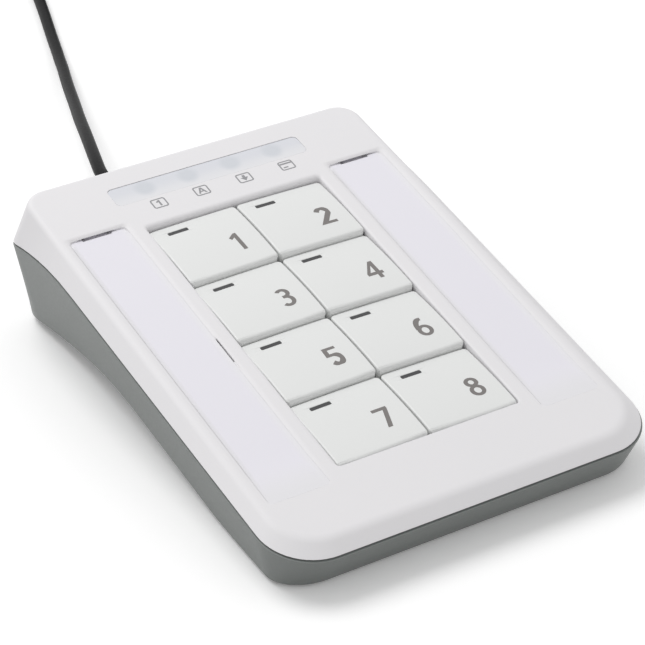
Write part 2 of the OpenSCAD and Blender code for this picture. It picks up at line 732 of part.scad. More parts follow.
module inner_leads() {
  for (i = [0:3]) {
    x = exit_x + (i - 1.5) * 1.6;
    out = lead_pitch / 2;
    near = [exit_x + (i < 2 ? -out : out), exit_h + (i == 0 || i == 3 ? out : -out)];
    socket = to_case([x, connector_rear - lead_in, board_low - header_h / 2]);
    start = [near.x, inner_tip_y + lead_in, near.y];
    sag = [0, 0, -0.7];
    way = socket - start;
    color(["#b33a34", "#e7e6e0", "#3c7a4a", "#222326"][i])
      tube([start, start + way * 0.35 + sag, start + way * 0.7 + sag, socket], lead_d);
  }
}

module board_screws() {
  color(steel) on_deck() both_sides() for (y = board_screw_y)
    translate([board_screw_x, y, board_low - touch]) {
      translate([0, 0, -board_screw_head]) cylinder(r = board_screw_head_r, h = board_screw_head);
      cylinder(r = board_screw_r, h = tray_low + 0.4 - board_low);
    }
}
module case_screw(at, seat, tip) {
  translate([at.x, at.y, seat]) {
    difference() {
      translate([0, 0, -case_head_h]) cylinder(r = case_head_r, h = case_head_h);
      translate([0, 0, -case_head_h - 1]) {
        cube([2.6, 0.6, 3.6], center = true);
        cube([0.6, 2.6, 3.6], center = true);
      }
    }
    cylinder(r = case_screw_r, h = tip - seat);
  }
}
module case_screws() {
  color(steel) both_sides() {
    case_screw(front_screw, foot_out + case_head_in + case_head_h, front_joint_z + front_bite);
    case_screw(rear_screw, underside(rear_screw.y) + case_head_in + case_head_h, rear_joint_z + rear_bite);
  }
}
module rubber_feet() {
  color("#3a3b3d") both_sides() {
    translate(front_foot) cylinder(r = foot_r, h = foot_out + foot_seat - touch);
    translate(rear_foot) cylinder(r = foot_r, h = underside(rear_foot.y) + foot_seat - touch);
  }
}

// The cord's route: out of the strain relief, down to the desk, then to the coil
relief_tip = [exit_x, relief_tip_y, exit_h];
// Route points: sideways and back from the exit, and the share of the exit's height left
lie = cord_d / 2 + 0.1;
function routed(pts) = [for (p = pts) [exit_x + p.x, relief_tip_y + p.y, lie + (exit_h - lie) * p.z]];
cord_route = routed([[0, 0, 1], [0.1, 2, 1], [0.6, 4.5, 0.995], [2, 9, 0.98], [4, 15, 0.935],
  [6.1, 21, 0.875], [8.3, 27.2, 0.8], [10.5, 33.3, 0.71], [12.8, 39.5, 0.615], [15.2, 45.7, 0.52], [17.6, 52, 0.425],
  [19.9, 58.2, 0.34], [22.2, 64.4, 0.26], [24.6, 70.7, 0.185], [27, 77, 0.12], [29.3, 83.5, 0.06],
  [31.6, 90, 0.02], [33.9, 97, 0], [36.2, 104, 0], [38.5, 111, 0], [40.7, 118, 0], [42.8, 125, 0],
  [44.7, 132, 0.01], [45.9, 138.5, 0.015], [46.2, 144.5, 0.02]]);
coil_at = [exit_x + 67.6, relief_tip_y + 146, 0];
coil_mid_r = 17;
coil_w = 12.2;
coil_h = 11;
tie_t = 0.4;
tie_w = 4;
function beside(p) = [coil_at.x + p.x, coil_at.y + p.y, p.z];
plug_off = [32, 3, 4];
tail_route = [for (p = [[0, 20, 9.7], [5, 20.2, 9.9], [9.5, 20.3, 10.1], [14, 19.9, 9.6], [18.5, 18.6, 8.5],
  [23, 16.2, 7.2], [27, 12.8, 5.9], [30.2, 8.6, 4.8], [31.7, 5.6, 4.2], plug_off]) beside(p)];
plug_at = beside(plug_off);
plug_taper_l = 8;
plug_grip_l = 22;
plug_grip_w = 15.4;
plug_grip_h = 8;
shell_w = 12;
shell_h = 4.5;
shell_t = 0.35;
shell_out = 12;
module cord() {
  color(black) {
    tube(cord_route, cord_d);
    tube(tail_route, cord_d);
  }
}
module cord_coil() {
  r = 3;
  side = coil_w / 2 - r;
  up = coil_h / 2 - r;
  color(black) translate([coil_at.x, coil_at.y, tie_t + coil_h / 2]) rotate_extrude($fn = 64)
    translate([coil_mid_r, 0]) {
      square([coil_w, 2 * up], center = true);
      square([2 * side, coil_h], center = true);
      for (x = [-side, side], y = [-up, up]) translate([x, y]) circle(r = r, $fn = 24);
    }
}
module cord_tie() {
  side = coil_w / 2 + touch;
  up = coil_h / 2 + touch;
  inner_r = coil_mid_r - coil_w / 2;
  bow = inner_r - sqrt(pow(inner_r, 2) - pow(tie_w / 2, 2)) + touch;
  color("#55575a") translate([coil_at.x, coil_at.y - coil_mid_r, tie_t + coil_h / 2]) difference() {
    block([-tie_w / 2, -side - tie_t, -up - tie_t + touch], [tie_w / 2, side + bow + tie_t, up + tie_t]);
    block([-tie_w, -side, -up], [tie_w, side + bow, up]);
  }
}
// The plug lies flat beside the coil and points towards the user
module at_plug() {
  translate(plug_at) rotate([90, 0, 0]) children();
}
module plug_grip() {
  color(black) at_plug() {
    translate([0, 0, touch]) cylinder(r1 = cord_d / 2 + 0.5, r2 = 3.2, h = plug_taper_l);
    difference() {
      translate([0, 0, plug_taper_l]) linear_extrude(plug_grip_l) rounded_plan(plug_grip_w, plug_grip_h, 2.4);
      translate([0, 0, plug_taper_l + plug_grip_l])
        cube([shell_w + 2 * touch, shell_h + 2 * touch, 6], center = true);
    }
  }
}
shell_low = plug_taper_l + plug_grip_l - 3 + touch;
module plug_shell() {
  color(steel) at_plug() translate([0, 0, shell_low]) difference() {
    linear_extrude(shell_out + 3) rounded_plan(shell_w, shell_h, 0.5);
    translate([0, 0, 1]) linear_extrude(shell_out + 3)
      square([shell_w - 2 * shell_t, shell_h - 2 * shell_t], center = true);
    for (x = [-2.6, 2.6]) translate([x, 0, 8]) cube([2, shell_h + 2, 2.4], center = true);
  }
}
tongue_h = 1.8;
module plug_tongue() {
  low = shell_h / 2 - shell_t - tongue_h - touch;
  color("#f0f0ee") at_plug() translate([0, 0, shell_low + 1 + touch])
    block([-shell_w / 2 + shell_t + touch, low, 0],
      [shell_w / 2 - shell_t - touch, low + tongue_h, shell_out + 1]);
}
module plug_contacts() {
  low = shell_h / 2 - shell_t - tongue_h - 2 * touch;
  color("#d9b04a") at_plug() for (x = [-3.5, -1, 1, 3.5])
    block([x - 0.5, low - 0.25, shell_low + 5], [x + 0.5, low, shell_low + shell_out]);
}

top_cover();
bottom_cover();
led_window();
for (k = KEYS) {
  key(k);
  light_bar(k);
}
label_cover(-1);  // label_cover_left
label_cover(1);  // label_cover_right
label_card(-1);  // label_card_left
label_card(1);  // label_card_right
key_guide();
dome_sheet();
circuit_board();
indicator_leds();
led_spacers();
key_leds();
controller_chip();
crystal();
small_parts();
cord_header();
cord_connector();
inner_leads();
cord_inner();
board_screws();
case_screws();
rubber_feet();
strain_relief();
cord();
cord_coil();
cord_tie();
plug_grip();
plug_shell();
plug_tongue();
plug_contacts();
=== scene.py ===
# %% [markdown]
# # A desktop keypad with eight large keys
# The CAD model is loaded first. It fixes every size and place, and nothing in it is moved.
# Where a moulded form needs softer edges than the solids have, a finer piece takes its place.

# %% Load the frame
import math
import bmesh
import bpy
from mathutils import Matrix, Vector


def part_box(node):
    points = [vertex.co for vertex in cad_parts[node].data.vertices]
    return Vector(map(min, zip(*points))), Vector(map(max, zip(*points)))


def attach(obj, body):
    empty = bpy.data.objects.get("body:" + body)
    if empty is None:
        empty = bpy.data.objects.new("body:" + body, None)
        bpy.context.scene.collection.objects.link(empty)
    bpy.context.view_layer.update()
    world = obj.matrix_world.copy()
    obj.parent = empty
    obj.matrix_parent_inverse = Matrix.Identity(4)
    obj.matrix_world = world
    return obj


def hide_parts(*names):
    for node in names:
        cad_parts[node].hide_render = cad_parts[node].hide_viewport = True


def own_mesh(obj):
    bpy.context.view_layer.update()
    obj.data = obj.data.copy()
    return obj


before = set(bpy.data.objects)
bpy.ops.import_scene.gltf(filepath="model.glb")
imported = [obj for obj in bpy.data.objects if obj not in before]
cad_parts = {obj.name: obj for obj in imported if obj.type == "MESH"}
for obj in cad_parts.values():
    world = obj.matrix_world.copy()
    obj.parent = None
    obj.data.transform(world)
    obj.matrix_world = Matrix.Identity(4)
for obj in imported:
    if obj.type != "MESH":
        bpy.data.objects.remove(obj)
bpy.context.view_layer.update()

MM = 0.001

# %% [markdown]
# The deck slopes towards the user. Its parts are drawn in the deck's own frame: x to the right,
# y = 0 at the deck's rear edge and negative towards the user, z along the deck's normal, all in
# millimetres. One matrix then carries them into the case's frame in metres.

# %% The deck's frame
BODY_W, BODY_L, BODY_H = 88.2, 119.0, 32.3
FRONT_H, REAR_OVERHANG = 8.85, 2.88
SEAM_FRONT, SEAM_MID, SEAM_REAR, SEAM_BEND = 2.1, 3.6, 11.6, 30.0
REAR_Y = BODY_L / 2 - REAR_OVERHANG
RUN, DROP = BODY_L - REAR_OVERHANG, BODY_H - FRONT_H
TILT = math.atan(DROP / RUN) - math.asin(SEAM_FRONT / math.hypot(RUN, DROP))
SEAM_OUT = (REAR_OVERHANG - SEAM_REAR * math.sin(TILT)) / math.cos(TILT)
SEAM_FRONT_Y = -(BODY_L / 2 + REAR_Y + SEAM_FRONT * math.sin(TILT)) / math.cos(TILT)
DECK = Matrix.Translation((0, REAR_Y, BODY_H)) @ Matrix.Rotation(TILT, 4, "X")
IN_CASE = Matrix.Scale(MM, 4)
TO_CASE = IN_CASE @ DECK


top_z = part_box("top_cover")[1].z
print("deck slope %.2f degrees, top cover ends at z = %.4f m" % (math.degrees(TILT), top_z))

# %% [markdown]
# The camera stands in front of the case and to its left and looks down on the deck through a
# long lens, so that the sides stay nearly parallel.

# %% Camera
CAMERA_AT, CAMERA_LENS = (-0.24815, -0.40864, 0.32549), 153.53246
LOOKS_DOWN, LOOKS_RIGHT = 32.76, 31.26


def in_scene(name, data):
    """A new object in the scene."""
    thing = bpy.data.objects.new(name, data)
    bpy.context.scene.collection.objects.link(thing)
    return thing


lens = bpy.data.cameras.new("camera")
lens.sensor_width, lens.lens = 36.0, CAMERA_LENS
camera = in_scene("camera", lens)
camera.location = CAMERA_AT
camera.rotation_euler = (math.radians(90 - LOOKS_DOWN), 0, -math.radians(LOOKS_RIGHT))
bpy.context.scene.camera = camera
print("lens %.1f mm" % lens.lens)

# %% [markdown]
# The cord is a limp 3 mm lead, 1.5 m long. It leaves the strain relief level, sinks to the desk
# and runs away from the case. The rest of its length is wound in a neat ring behind the case, and
# its last stretch ends in the plug beside the ring. Its points come first, then one round tube
# is pulled along them.

# %% The cord's route
CORD_D = 3.0
EXIT_X, EXIT_H = -10.0, BODY_H - 15.3
TIP_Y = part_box("strain_relief")[1].y / MM + 0.1
LIE = CORD_D / 2 + 0.1
ROUTE = [(0, 0, 1), (0.1, 2, 1), (0.6, 4.5, 0.995), (2, 9, 0.98), (4, 15, 0.935), (6.1, 21, 0.875),
         (8.3, 27.2, 0.8), (10.5, 33.3, 0.71), (12.8, 39.5, 0.615), (15.2, 45.7, 0.52), (17.6, 52, 0.425),
         (19.9, 58.2, 0.34), (22.2, 64.4, 0.26), (24.6, 70.7, 0.185), (27, 77, 0.12), (29.3, 83.5, 0.06),
         (31.6, 90, 0.02), (33.9, 97, 0), (36.2, 104, 0), (38.5, 111, 0), (40.7, 118, 0), (42.8, 125, 0),
         (44.7, 132, 0.01), (45.9, 138.5, 0.015)]
COIL = Vector((EXIT_X + 67.6, TIP_Y + 146, 0.4 + CORD_D / 2))
COIL_IN, COIL_TURNS, COIL_OUT, LAYER_RISE, STEP_FROM = 184, 12, 94, 2.6, 0.85
SLOTS = [(r, LAYER_RISE * layer) for layer, row in enumerate(
    [(21.5, 18.5, 15.5, 12.5), (14, 17, 20), (21.5, 18.5, 15.5, 12.5), (17, 20)]) for r in row]
TAIL = [(5, 20.2, 9.9), (9.5, 20.3, 10.1), (14, 19.9, 9.6), (18.5, 18.6, 8.5), (23, 16.2, 7.2),
        (27, 12.8, 5.9), (30.2, 8.6, 4.8), (31.7, 5.6, 4.2), (32, 3, 4)]

# %% Points along the route
def swell(x, start, end):
    """A smooth step from 0 to 1."""
    t = min(1.0, max(0.0, (x - start) / (end - start)))
    return t * t * (3 - 2 * t)


def coil_point(turned):
    """A point of the ring after that many degrees: each turn lies in its slot, then steps over."""
    turn, part = divmod(turned / 360, 1)
    turn = int(turn)
    here, there = SLOTS[min(turn, len(SLOTS) - 1)], SLOTS[min(turn + 1, len(SLOTS) - 1)]
    step = swell(part, STEP_FROM, 1)
    r = here[0] + (there[0] - here[0]) * step
    z = here[1] + (there[1] - here[1]) * step
    angle = math.radians(COIL_IN - turned)
    return (COIL.x + r * math.cos(angle), COIL.y + r * math.sin(angle), COIL.z + z)


def smooth_path(points, parts=3):
    """Catmull-Rom points through a list of points."""
    pts = [points[0]] + points + [points[-1]]
    out = []
    for a, b, c, d in zip(pts, pts[1:], pts[2:], pts[3:]):
        for k in range(parts):
            t = k / parts
            out.append(tuple(0.5 * (2 * q + (r - p) * t + (2 * p - 5 * q + 4 * r - s) * t * t
                       + (3 * q - 3 * r + s - p) * t ** 3) for p, q, r, s in zip(a, b, c, d)))
    return out + [points[-1]]


lead_in = [(EXIT_X + x, TIP_Y + y, LIE + (EXIT_H - LIE) * share) for x, y, share in ROUTE]
ring = [coil_point(a) for a in range(0, COIL_OUT + 360 * COIL_TURNS, 15)]
tail = [(COIL.x + x, COIL.y + y, z) for x, y, z in TAIL]
route = smooth_path(lead_in + ring[:1])[:-1] + ring + smooth_path(ring[-1:] + tail)[1:]
cord_path = [Vector(p) * MM for p in route]
cord_length = sum((b - a).length for a, b in zip(cord_path, cord_path[1:]))
print("cord points:", len(cord_path), "length %.3f m" % cord_length)

# %% [markdown]
# Materials are built from Blender's Principled shader. A colour is written as it looks, in sRGB
# hex, and one function turns it into the linear values that the shader takes. Another adds a node
# with its settings and links.

# %% Colours and nodes
def paint(hex_code):
    parts = [int(hex_code[i:i + 2], 16) / 255 for i in (1, 3, 5)]
    return tuple(c / 12.92 if c <= 0.04045 else ((c + 0.055) / 1.055) ** 2.4 for c in parts) + (1.0,)


def new_material(name):
    material = bpy.data.materials.new(name)
    material.use_nodes = True
    tree = material.node_tree
    return material, tree, tree.nodes["Principled BSDF"]


def feed(tree, node, inputs):
    """Links each input to a node's output, or sets it to a hex colour, a number or a vector. A node
    that is given alone stands for its first output."""
    for key, value in inputs.items():
        socket = node.inputs[key.replace("_", " ") if isinstance(key, str) else key]
        if isinstance(value, bpy.types.Node):
            value = value.outputs[0]
        if isinstance(value, bpy.types.NodeSocket):
            tree.links.new(value, socket)
        else:
            socket.default_value = paint(value) if isinstance(value, str) else value


def add(tree, kind, inputs=None, **settings):
    """Adds a shader node with its settings and feeds its inputs."""
    node = tree.nodes.new("ShaderNode" + kind)
    for key, value in settings.items():
        setattr(node, key, value)
    feed(tree, node, inputs or {})
    return node


print("mid grey in linear values:", "%.3f %.3f %.3f" % paint("#808080")[:3])

# %% [markdown]
# A moulded or plated surface is never quite even. So each finish mixes two close colours in soft
# patches, and a fine grain lifts the surface a little and makes it now more, now less matt.

# %% Patches and grain
def tinted(tree, colour, *coats):
    """Lays coats over a colour. Each is a share from 0 to 1 and the colour that it adds."""
    for share, other in coats:
        colour = add(tree, "Mix", {0: share, 6: colour, 7: other}, data_type="RGBA").outputs[2]
    return colour


def mottle(tree, size_mm, detail=2.0, stretch=(1, 1, 1)):
    """A random pattern with features about size_mm across; a share below 1 in stretch draws them out
    along that axis."""
    place = add(tree, "TexCoord").outputs["Object"]
    place = add(tree, "VectorMath", {0: place, 1: stretch}, operation="MULTIPLY")
    return add(tree, "TexNoise", {0: place, 2: 1 / (size_mm * MM), 3: detail})


def surface(name, colour, other, rough, grain_mm, relief_mm, blotch_mm=18.0, grain_stretch=(1, 1, 1),
            fade=None, **finish):
    """Two close colours in soft patches, with a fine grain that also varies the gloss."""
    material, tree, shader = new_material(name)
    tint = tinted(tree, colour, (mottle(tree, blotch_mm), other))
    if fade:
        tint = fade(tree, tint)
    grain = mottle(tree, grain_mm, 3.0, grain_stretch)
    bump = add(tree, "Bump", {0: 0.35, 1: relief_mm * MM, 3: grain})
    gloss = add(tree, "MapRange", {0: grain, 1: 0.3, 2: 0.7, 3: rough - 0.05, 4: rough + 0.05})
    feed(tree, shader, dict(Base_Color=tint, Normal=bump, Roughness=gloss, **finish))
    return material

# %% [markdown]
# The case and the keys are moulded in ABS from a mould with a fine spark-eroded texture. It takes
# the shine off without looking rough. The real grain is finer than 0.1 mm. Here it is 0.4 to
# 0.5 mm, as coarse as it needs to be to show, and a few micrometres deep.

# %% Moulded plastics
white_abs = surface("moulded white ABS", "#EBE9EB", "#E9E8EA", 0.55, 0.45, 0.006, IOR=1.53,
                    Specular_IOR_Level=0.35)
key_abs = surface("moulded key ABS", "#E8E9E8", "#E6E7E6", 0.38, 0.4, 0.005, IOR=1.53)
grey_abs = surface("moulded grey ABS", "#848886", "#818583", 0.46, 0.5, 0.010, IOR=1.53)
# The light bars are clear inserts; their dark colour is painted shade, the unlit inside of the key seen
# through them.
bar_painted_shade = surface("clear light-pipe polycarbonate with painted shade", "#2A2A2C", "#262628", 0.4, 0.5, 0.003, IOR=1.58)
digit_ink = surface("pad-printed grey ink", "#7A7674", "#787472", 0.5, 0.3, 0.003)
icon_ink = surface("pad-printed light grey ink", "#929295", "#969699", 0.5, 0.3, 0.003)
black_pvc = surface("soft black PVC", "#101011", "#0D0D0E", 0.5, 0.5, 0.006, Specular_IOR_Level=0.15)
foot_rubber = surface("foot rubber", "#3A3B3D", "#343537", 0.7, 0.4, 0.010, Specular_IOR_Level=0.3)
acetal = surface("natural acetal", "#DADBDC", "#D5D7D8", 0.33, 0.8, 0.004, IOR=1.48)
silicone = surface("grey silicone", "#C9CCD0", "#C2C6CB", 0.55, 0.6, 0.008, Subsurface_Weight=0.1)
nylon = surface("black nylon", "#1F2022", "#242528", 0.5, 0.5, 0.006)
ivory_nylon = surface("ivory nylon", "#ECE9DE", "#E4E0D2", 0.42, 0.7, 0.005)
white_pbt = surface("white PBT", "#F0F0EE", "#E8E8E4", 0.4, 0.6, 0.004)
epoxy = surface("black moulding epoxy", "#26272A", "#2D2E31", 0.6, 0.25, 0.010)
ceramic = surface("brown capacitor ceramic", "#8D7A5C", "#A38F70", 0.55, 0.2, 0.008, blotch_mm=1.5)
lamp_body = surface("yellow lamp resin", "#E8E2C4", "#DDD3A4", 0.35, 0.3, 0.004, blotch_mm=1.0)
lamp_epoxy = surface("clear lamp epoxy", "#DDE4E8", "#D3DCE2", 0.15, 0.9, 0.002, IOR=1.55, Coat_Weight=0.5)

# %% [markdown]
# Metals: the plug's shell is nickel-plated steel with fine drawing lines, the screws are
# zinc-plated, and the contacts are gold-plated. The lines are noise that is stretched along one
# axis. All three are metallic and a little rough, so their highlights are soft.

# %% Metals
nickel = surface("nickel-plated steel", "#C4C6C8", "#B4B7BA", 0.28, 0.12, 0.004,
                 grain_stretch=(1, 0.08, 1), Metallic=1.0)
screw_steel = surface("zinc-plated screw steel", "#BFC2C4", "#A9ADB0", 0.34, 0.15, 0.006,
                      blotch_mm=2.0, Metallic=1.0)
gold = surface("gold-plated contact", "#D9B04A", "#C99E3C", 0.25, 0.1, 0.003,
               grain_stretch=(1, 0.1, 1), Metallic=1.0)

# %% [markdown]
# Four materials need a pattern of their own. The circuit board has green solder mask over copper
# tracks, so it is a little lighter and higher where a track runs. The label card is paper with
# short fibres. The tie is woven hook-and-loop tape. The four inner leads are told apart by
# colour, and x picks the colour.

# %% Patterned materials
TRACK_PITCH, STRAND = 4.5, 0.5
LEADS = ((-1.6, "#E7E6E0"), (0.0, "#3C7A4A"), (1.6, "#222326"))


def patterned(name, height, tint, relief_mm, rough, **finish):
    """A relief from height(tree), whose level also picks the colour in tint(tree, level)."""
    material, tree, shader = new_material(name)
    level = height(tree)
    bump = add(tree, "Bump", {0: 0.5, 1: relief_mm * MM, 3: level})
    feed(tree, shader, dict(Base_Color=tint(tree, level), Normal=bump, Roughness=rough, **finish))
    return material


def between(low, high):
    """The tint that goes from one colour to the other as the relief rises."""
    return lambda tree, level: tinted(tree, low, (level, high))


def tracks(tree):
    place = add(tree, "TexCoord").outputs["Object"]
    cells = add(tree, "TexVoronoi", {0: place, 2: 1 / (TRACK_PITCH * MM)}, distance="CHEBYCHEV")
    rings = add(tree, "Math", {0: cells, 1: 0.12}, operation="PINGPONG")
    return add(tree, "MapRange", {0: rings, 1: 0.05, 2: 0.07})


def weave(tree):
    place, scale = add(tree, "TexCoord").outputs["Object"], 2 * math.pi / (20 * STRAND * MM)
    across, along = (add(tree, "TexWave", {0: place, 1: scale}, bands_direction=way).outputs[1]
                     for way in "XY")
    return add(tree, "Math", {0: across, 1: along}, operation="MULTIPLY")


def lead_colours(tree, level):
    """Red for the first lead; past each limit in x the next lead has its own colour."""
    x = add(tree, "SeparateXYZ", {0: add(tree, "TexCoord").outputs["Object"]})
    colour = "#B33A34"
    for limit, code in LEADS:
        past = add(tree, "Math", {0: x, 1: (EXIT_X + limit) * MM}, operation="GREATER_THAN")
        colour = tinted(tree, colour, (past, code))
    return colour


laminate = patterned("green circuit board", tracks, between("#2A6440", "#3C7D52"), 0.03, 0.35)
tie_tape = patterned("woven grey tape", weave, between("#47494C", "#626569"), 0.08, 0.85, Sheen_Weight=0.2)
card_paper = patterned("uncoated white card", lambda tree: mottle(tree, 0.25, 4.0, (1, 0.3, 1)),
                       between("#F4F2F4", "#ECEAEC"), 0.01, 0.8)
lead_pvc = patterned("lead insulation", lambda tree: mottle(tree, 0.3), lead_colours, 0.004, 0.4)

# %% [markdown]
# The window is a smoked insert that looks pale grey-blue. Under it stand four lamps, and each
# shows as a soft darker spot. The distance to the nearest lamp's axis gives the spot.

# %% Window material
LED_Y, LED_PITCH, LED_MID = -8.4, 10.5, 0.4
SPOT_R, SPOT_EDGE = 1.2, 3.2
WINDOW_W, WINDOW_D, WINDOW_REAR = 47.0, 5.9, 6.0


def along_deck(tree, start, end):
    """A soft share from 0 at y = start on the deck to 1 at y = end, further towards the user."""
    origin, to_user = TO_CASE @ Vector((0, start, 0)), (0, -math.cos(TILT), -math.sin(TILT))
    place = add(tree, "TexCoord").outputs["Object"]
    past = add(tree, "VectorMath", {0: place, 1: origin}, operation="SUBTRACT")
    depth = add(tree, "VectorMath", {0: past, 1: to_user}, operation="DOT_PRODUCT").outputs["Value"]
    return add(tree, "MapRange", {0: depth, 1: 0.0, 2: (start - end) * MM}, interpolation_type="SMOOTHSTEP")


def smoked_window():
    material, tree, shader = new_material("smoked window polycarbonate")
    place = add(tree, "TexCoord").outputs["Object"]
    nearest = 1.0
    for i in range(4):
        at = TO_CASE @ Vector(((i - 1.5) * LED_PITCH + LED_MID, LED_Y, 0))
        gap = add(tree, "VectorMath", {0: place, 1: at}, operation="DISTANCE").outputs["Value"]
        nearest = add(tree, "Math", {0: nearest, 1: gap}, operation="MINIMUM")
    spot = add(tree, "MapRange", {0: nearest, 1: SPOT_R * MM, 2: SPOT_EDGE * MM, 3: 1.0, 4: 0.0},
               interpolation_type="SMOOTHSTEP")
    thin = along_deck(tree, -WINDOW_REAR - 1.5, -WINDOW_REAR - WINDOW_D)
    tint = tinted(tree, "#DDDEE4", (mottle(tree, 9.0), "#DADCE2"), (thin, "#E6E6E9"), (spot, "#D2D5DB"))
    bump = add(tree, "Bump", {0: 0.2, 1: 0.003 * MM, 3: mottle(tree, 1.2)})
    feed(tree, shader, dict(Base_Color=tint, Normal=bump, Roughness=0.28, IOR=1.58))
    return material


window_pc = smoked_window()
print("materials:", len(bpy.data.materials))

# %% [markdown]
# Both covers are lofts: one closed ring of points is pulled from level to level. A ring follows a
# rounded rectangle. The ring at the parting line isn't flat, because that line drops at the rear.

# %% The case's outline
SIDE_STEPS, CORNER_STEPS = 16, 14
SEAM_HW, DECK_HW = BODY_W / 2, BODY_W / 2 - 3.3
DECK_L = -SEAM_FRONT_Y - 3.8
SEAM_GAP, WALL = 0.3, 2.0


def corner(x, y, r, start, end):
    turns = [math.radians(start + (end - start) * i / CORNER_STEPS) for i in range(CORNER_STEPS + 1)]
    return [(x + r * math.cos(a), y + r * math.sin(a), math.cos(a), math.sin(a)) for a in turns]


def outline(hw, y0, y1, r0, r1):
    """The case's outline as x, y and the outward direction, clockwise from the rear."""
    a, b = y0 - r0, y1 + r1
    side = [a + (b - a) * (i / SIDE_STEPS) ** 1.7 for i in range(1, SIDE_STEPS)]
    return (corner(hw - r0, a, r0, 90, 0) + [(hw, y, 1, 0) for y in side] + corner(hw - r1, b, r1, 0, -90)
            + corner(r1 - hw, b, r1, -90, -180) + [(-hw, y, -1, 0) for y in reversed(side)]
            + corner(r0 - hw, a, r0, 180, 90))


def seam_z(y):
    """The parting line: nearly straight at first, then down in a curve from the bend to the rear."""
    share = min(1, max(0, (y - SEAM_FRONT_Y) / (-SEAM_BEND - SEAM_FRONT_Y)))
    past = max(0, y + SEAM_BEND) / (SEAM_BEND + SEAM_OUT)
    return -SEAM_FRONT - (SEAM_MID - SEAM_FRONT) * share - (SEAM_REAR - SEAM_MID) * past ** 2


def deck_ring(inset):
    return outline(DECK_HW - inset, -inset, inset - DECK_L, 5 - inset, 9.6 - inset)


def seam_ring(inset):
    return outline(SEAM_HW - inset, SEAM_OUT - inset, SEAM_FRONT_Y + inset, 6 - inset, 11.6 - inset)


print("points in a ring of the case:", len(seam_ring(0)))

# %% Rounded rectangles and bends
def rounded_rect(x0, x1, y0, y1, r, z, steps=5):
    """A closed ring round a rectangle with corner radius r; z is a level or a function of x, y."""
    ring = []
    right, left, rear, front = x1 - r, x0 + r, y1 - r, y0 + r
    for cx, cy, start in ((right, rear, 90), (right, front, 0), (left, front, -90), (left, rear, 180)):
        for i in range(steps + 1):
            a = math.radians(start - 90 * i / steps)
            x, y = cx + r * math.cos(a), cy + r * math.sin(a)
            ring.append(Vector((x, y, z(x, y) if callable(z) else z)))
    return ring


def grown(x0, x1, y0, y1, r, grow, z, steps=5):
    """A rounded rectangle that is larger by grow on every side."""
    return rounded_rect(x0 - grow, x1 + grow, y0 - grow, y1 + grow, r + grow, z, steps)


def bend_between(a, b, c, parts):
    """Points on a smooth bend from a to c whose corner is b."""
    shares = [i / parts for i in range(parts + 1)]
    return [a * (1 - t) ** 2 + b * 2 * t * (1 - t) + c * t * t for t in shares]

# %% [markdown]
# A skin is pulled from ring to ring. Its ends are closed by a flat field, which may have holes, or
# by strips from one half of the ring to the other, where the ring isn't flat.

# %% Loft helpers
def start_ring(bm, points):
    verts = [bm.verts.new(p) for p in points]
    for pair in zip(verts, verts[1:] + verts[:1]):
        bm.edges.new(pair)
    return verts


def ring_edges(bm, verts):
    return [bm.edges.get(pair) for pair in zip(verts, verts[1:] + verts[:1])]


def pull(bm, verts, points):
    """Extrudes a ring and moves the new ring on to the points."""
    made = bmesh.ops.extrude_edge_only(bm, edges=ring_edges(bm, verts))["geom"]
    fresh = {g for g in made if isinstance(g, bmesh.types.BMVert)}
    row = [next(e.other_vert(v) for e in v.link_edges if e.other_vert(v) in fresh) for v in verts]
    for v, p in zip(row, points):
        v.co = p
    return row


def skin(bm, rings):
    """Pulls a skin through all the rings; returns its first and its last ring."""
    first = ring = start_ring(bm, rings[0])
    for points in rings[1:]:
        ring = pull(bm, ring, points)
    return first, ring


def close_field(bm, *rings):
    edges = [e for r in rings for e in ring_edges(bm, r)]
    bmesh.ops.triangle_fill(bm, use_beauty=True, use_dissolve=False, edges=edges)


def floor_strips(bm, ring):
    half = len(ring) // 2
    edges = [bm.edges.get(pair) for run in (ring[:half], ring[half:]) for pair in zip(run, run[1:])]
    bmesh.ops.bridge_loops(bm, edges=edges)


def loft(bm, rings):
    """A closed solid through all the rings, flat at both ends."""
    for end in skin(bm, rings):
        close_field(bm, end)

# %% [markdown]
# A bmesh becomes an object with smooth faces that is sharp only where two faces meet at more than
# 35 degrees. Boxes, rods and discs are the plain shapes that the pieces and their cuts need.

# %% Objects from a bmesh
def settle(bm, name, matrix=None, sharp=35):
    """Merges doubles, points faces outwards, marks sharp edges and returns the new object."""
    bmesh.ops.remove_doubles(bm, verts=bm.verts, dist=0.0005)
    bmesh.ops.recalc_face_normals(bm, faces=bm.faces)
    if matrix is not None:
        bmesh.ops.transform(bm, matrix=matrix, verts=bm.verts)
    for f in bm.faces:
        f.smooth = True
    for e in bm.edges:
        e.smooth = e.calc_face_angle(0) < math.radians(sharp)
    mesh = bpy.data.meshes.new(name)
    bm.to_mesh(mesh)
    bm.free()
    return in_scene(name, mesh)


def box_between(bm, lo, hi):
    lo, hi = Vector(lo), Vector(hi)
    place = Matrix.Translation((lo + hi) / 2) @ Matrix.Diagonal((*(hi - lo), 1))
    bmesh.ops.create_cube(bm, size=1, matrix=place)


def solid(name, matrix, *lofts, boxes=(), sharp=35):
    """An object made of lofts, each a list of rings, and of boxes, each two opposite corners."""
    bm = bmesh.new()
    for rings in lofts:
        loft(bm, rings)
    for lo, hi in boxes:
        box_between(bm, lo, hi)
    return settle(bm, name, matrix, sharp)


def rod(bm, at, z0, z1, r, segments=40, turn=Matrix()):
    """A cylinder from level z0 to z1 over the point at; turn lays it down."""
    place = Matrix.Translation(at) @ turn @ Matrix.Translation((0, 0, (z0 + z1) / 2))
    bmesh.ops.create_cone(bm, cap_ends=True, segments=segments, radius1=r, radius2=r, depth=z1 - z0,
                          matrix=place)


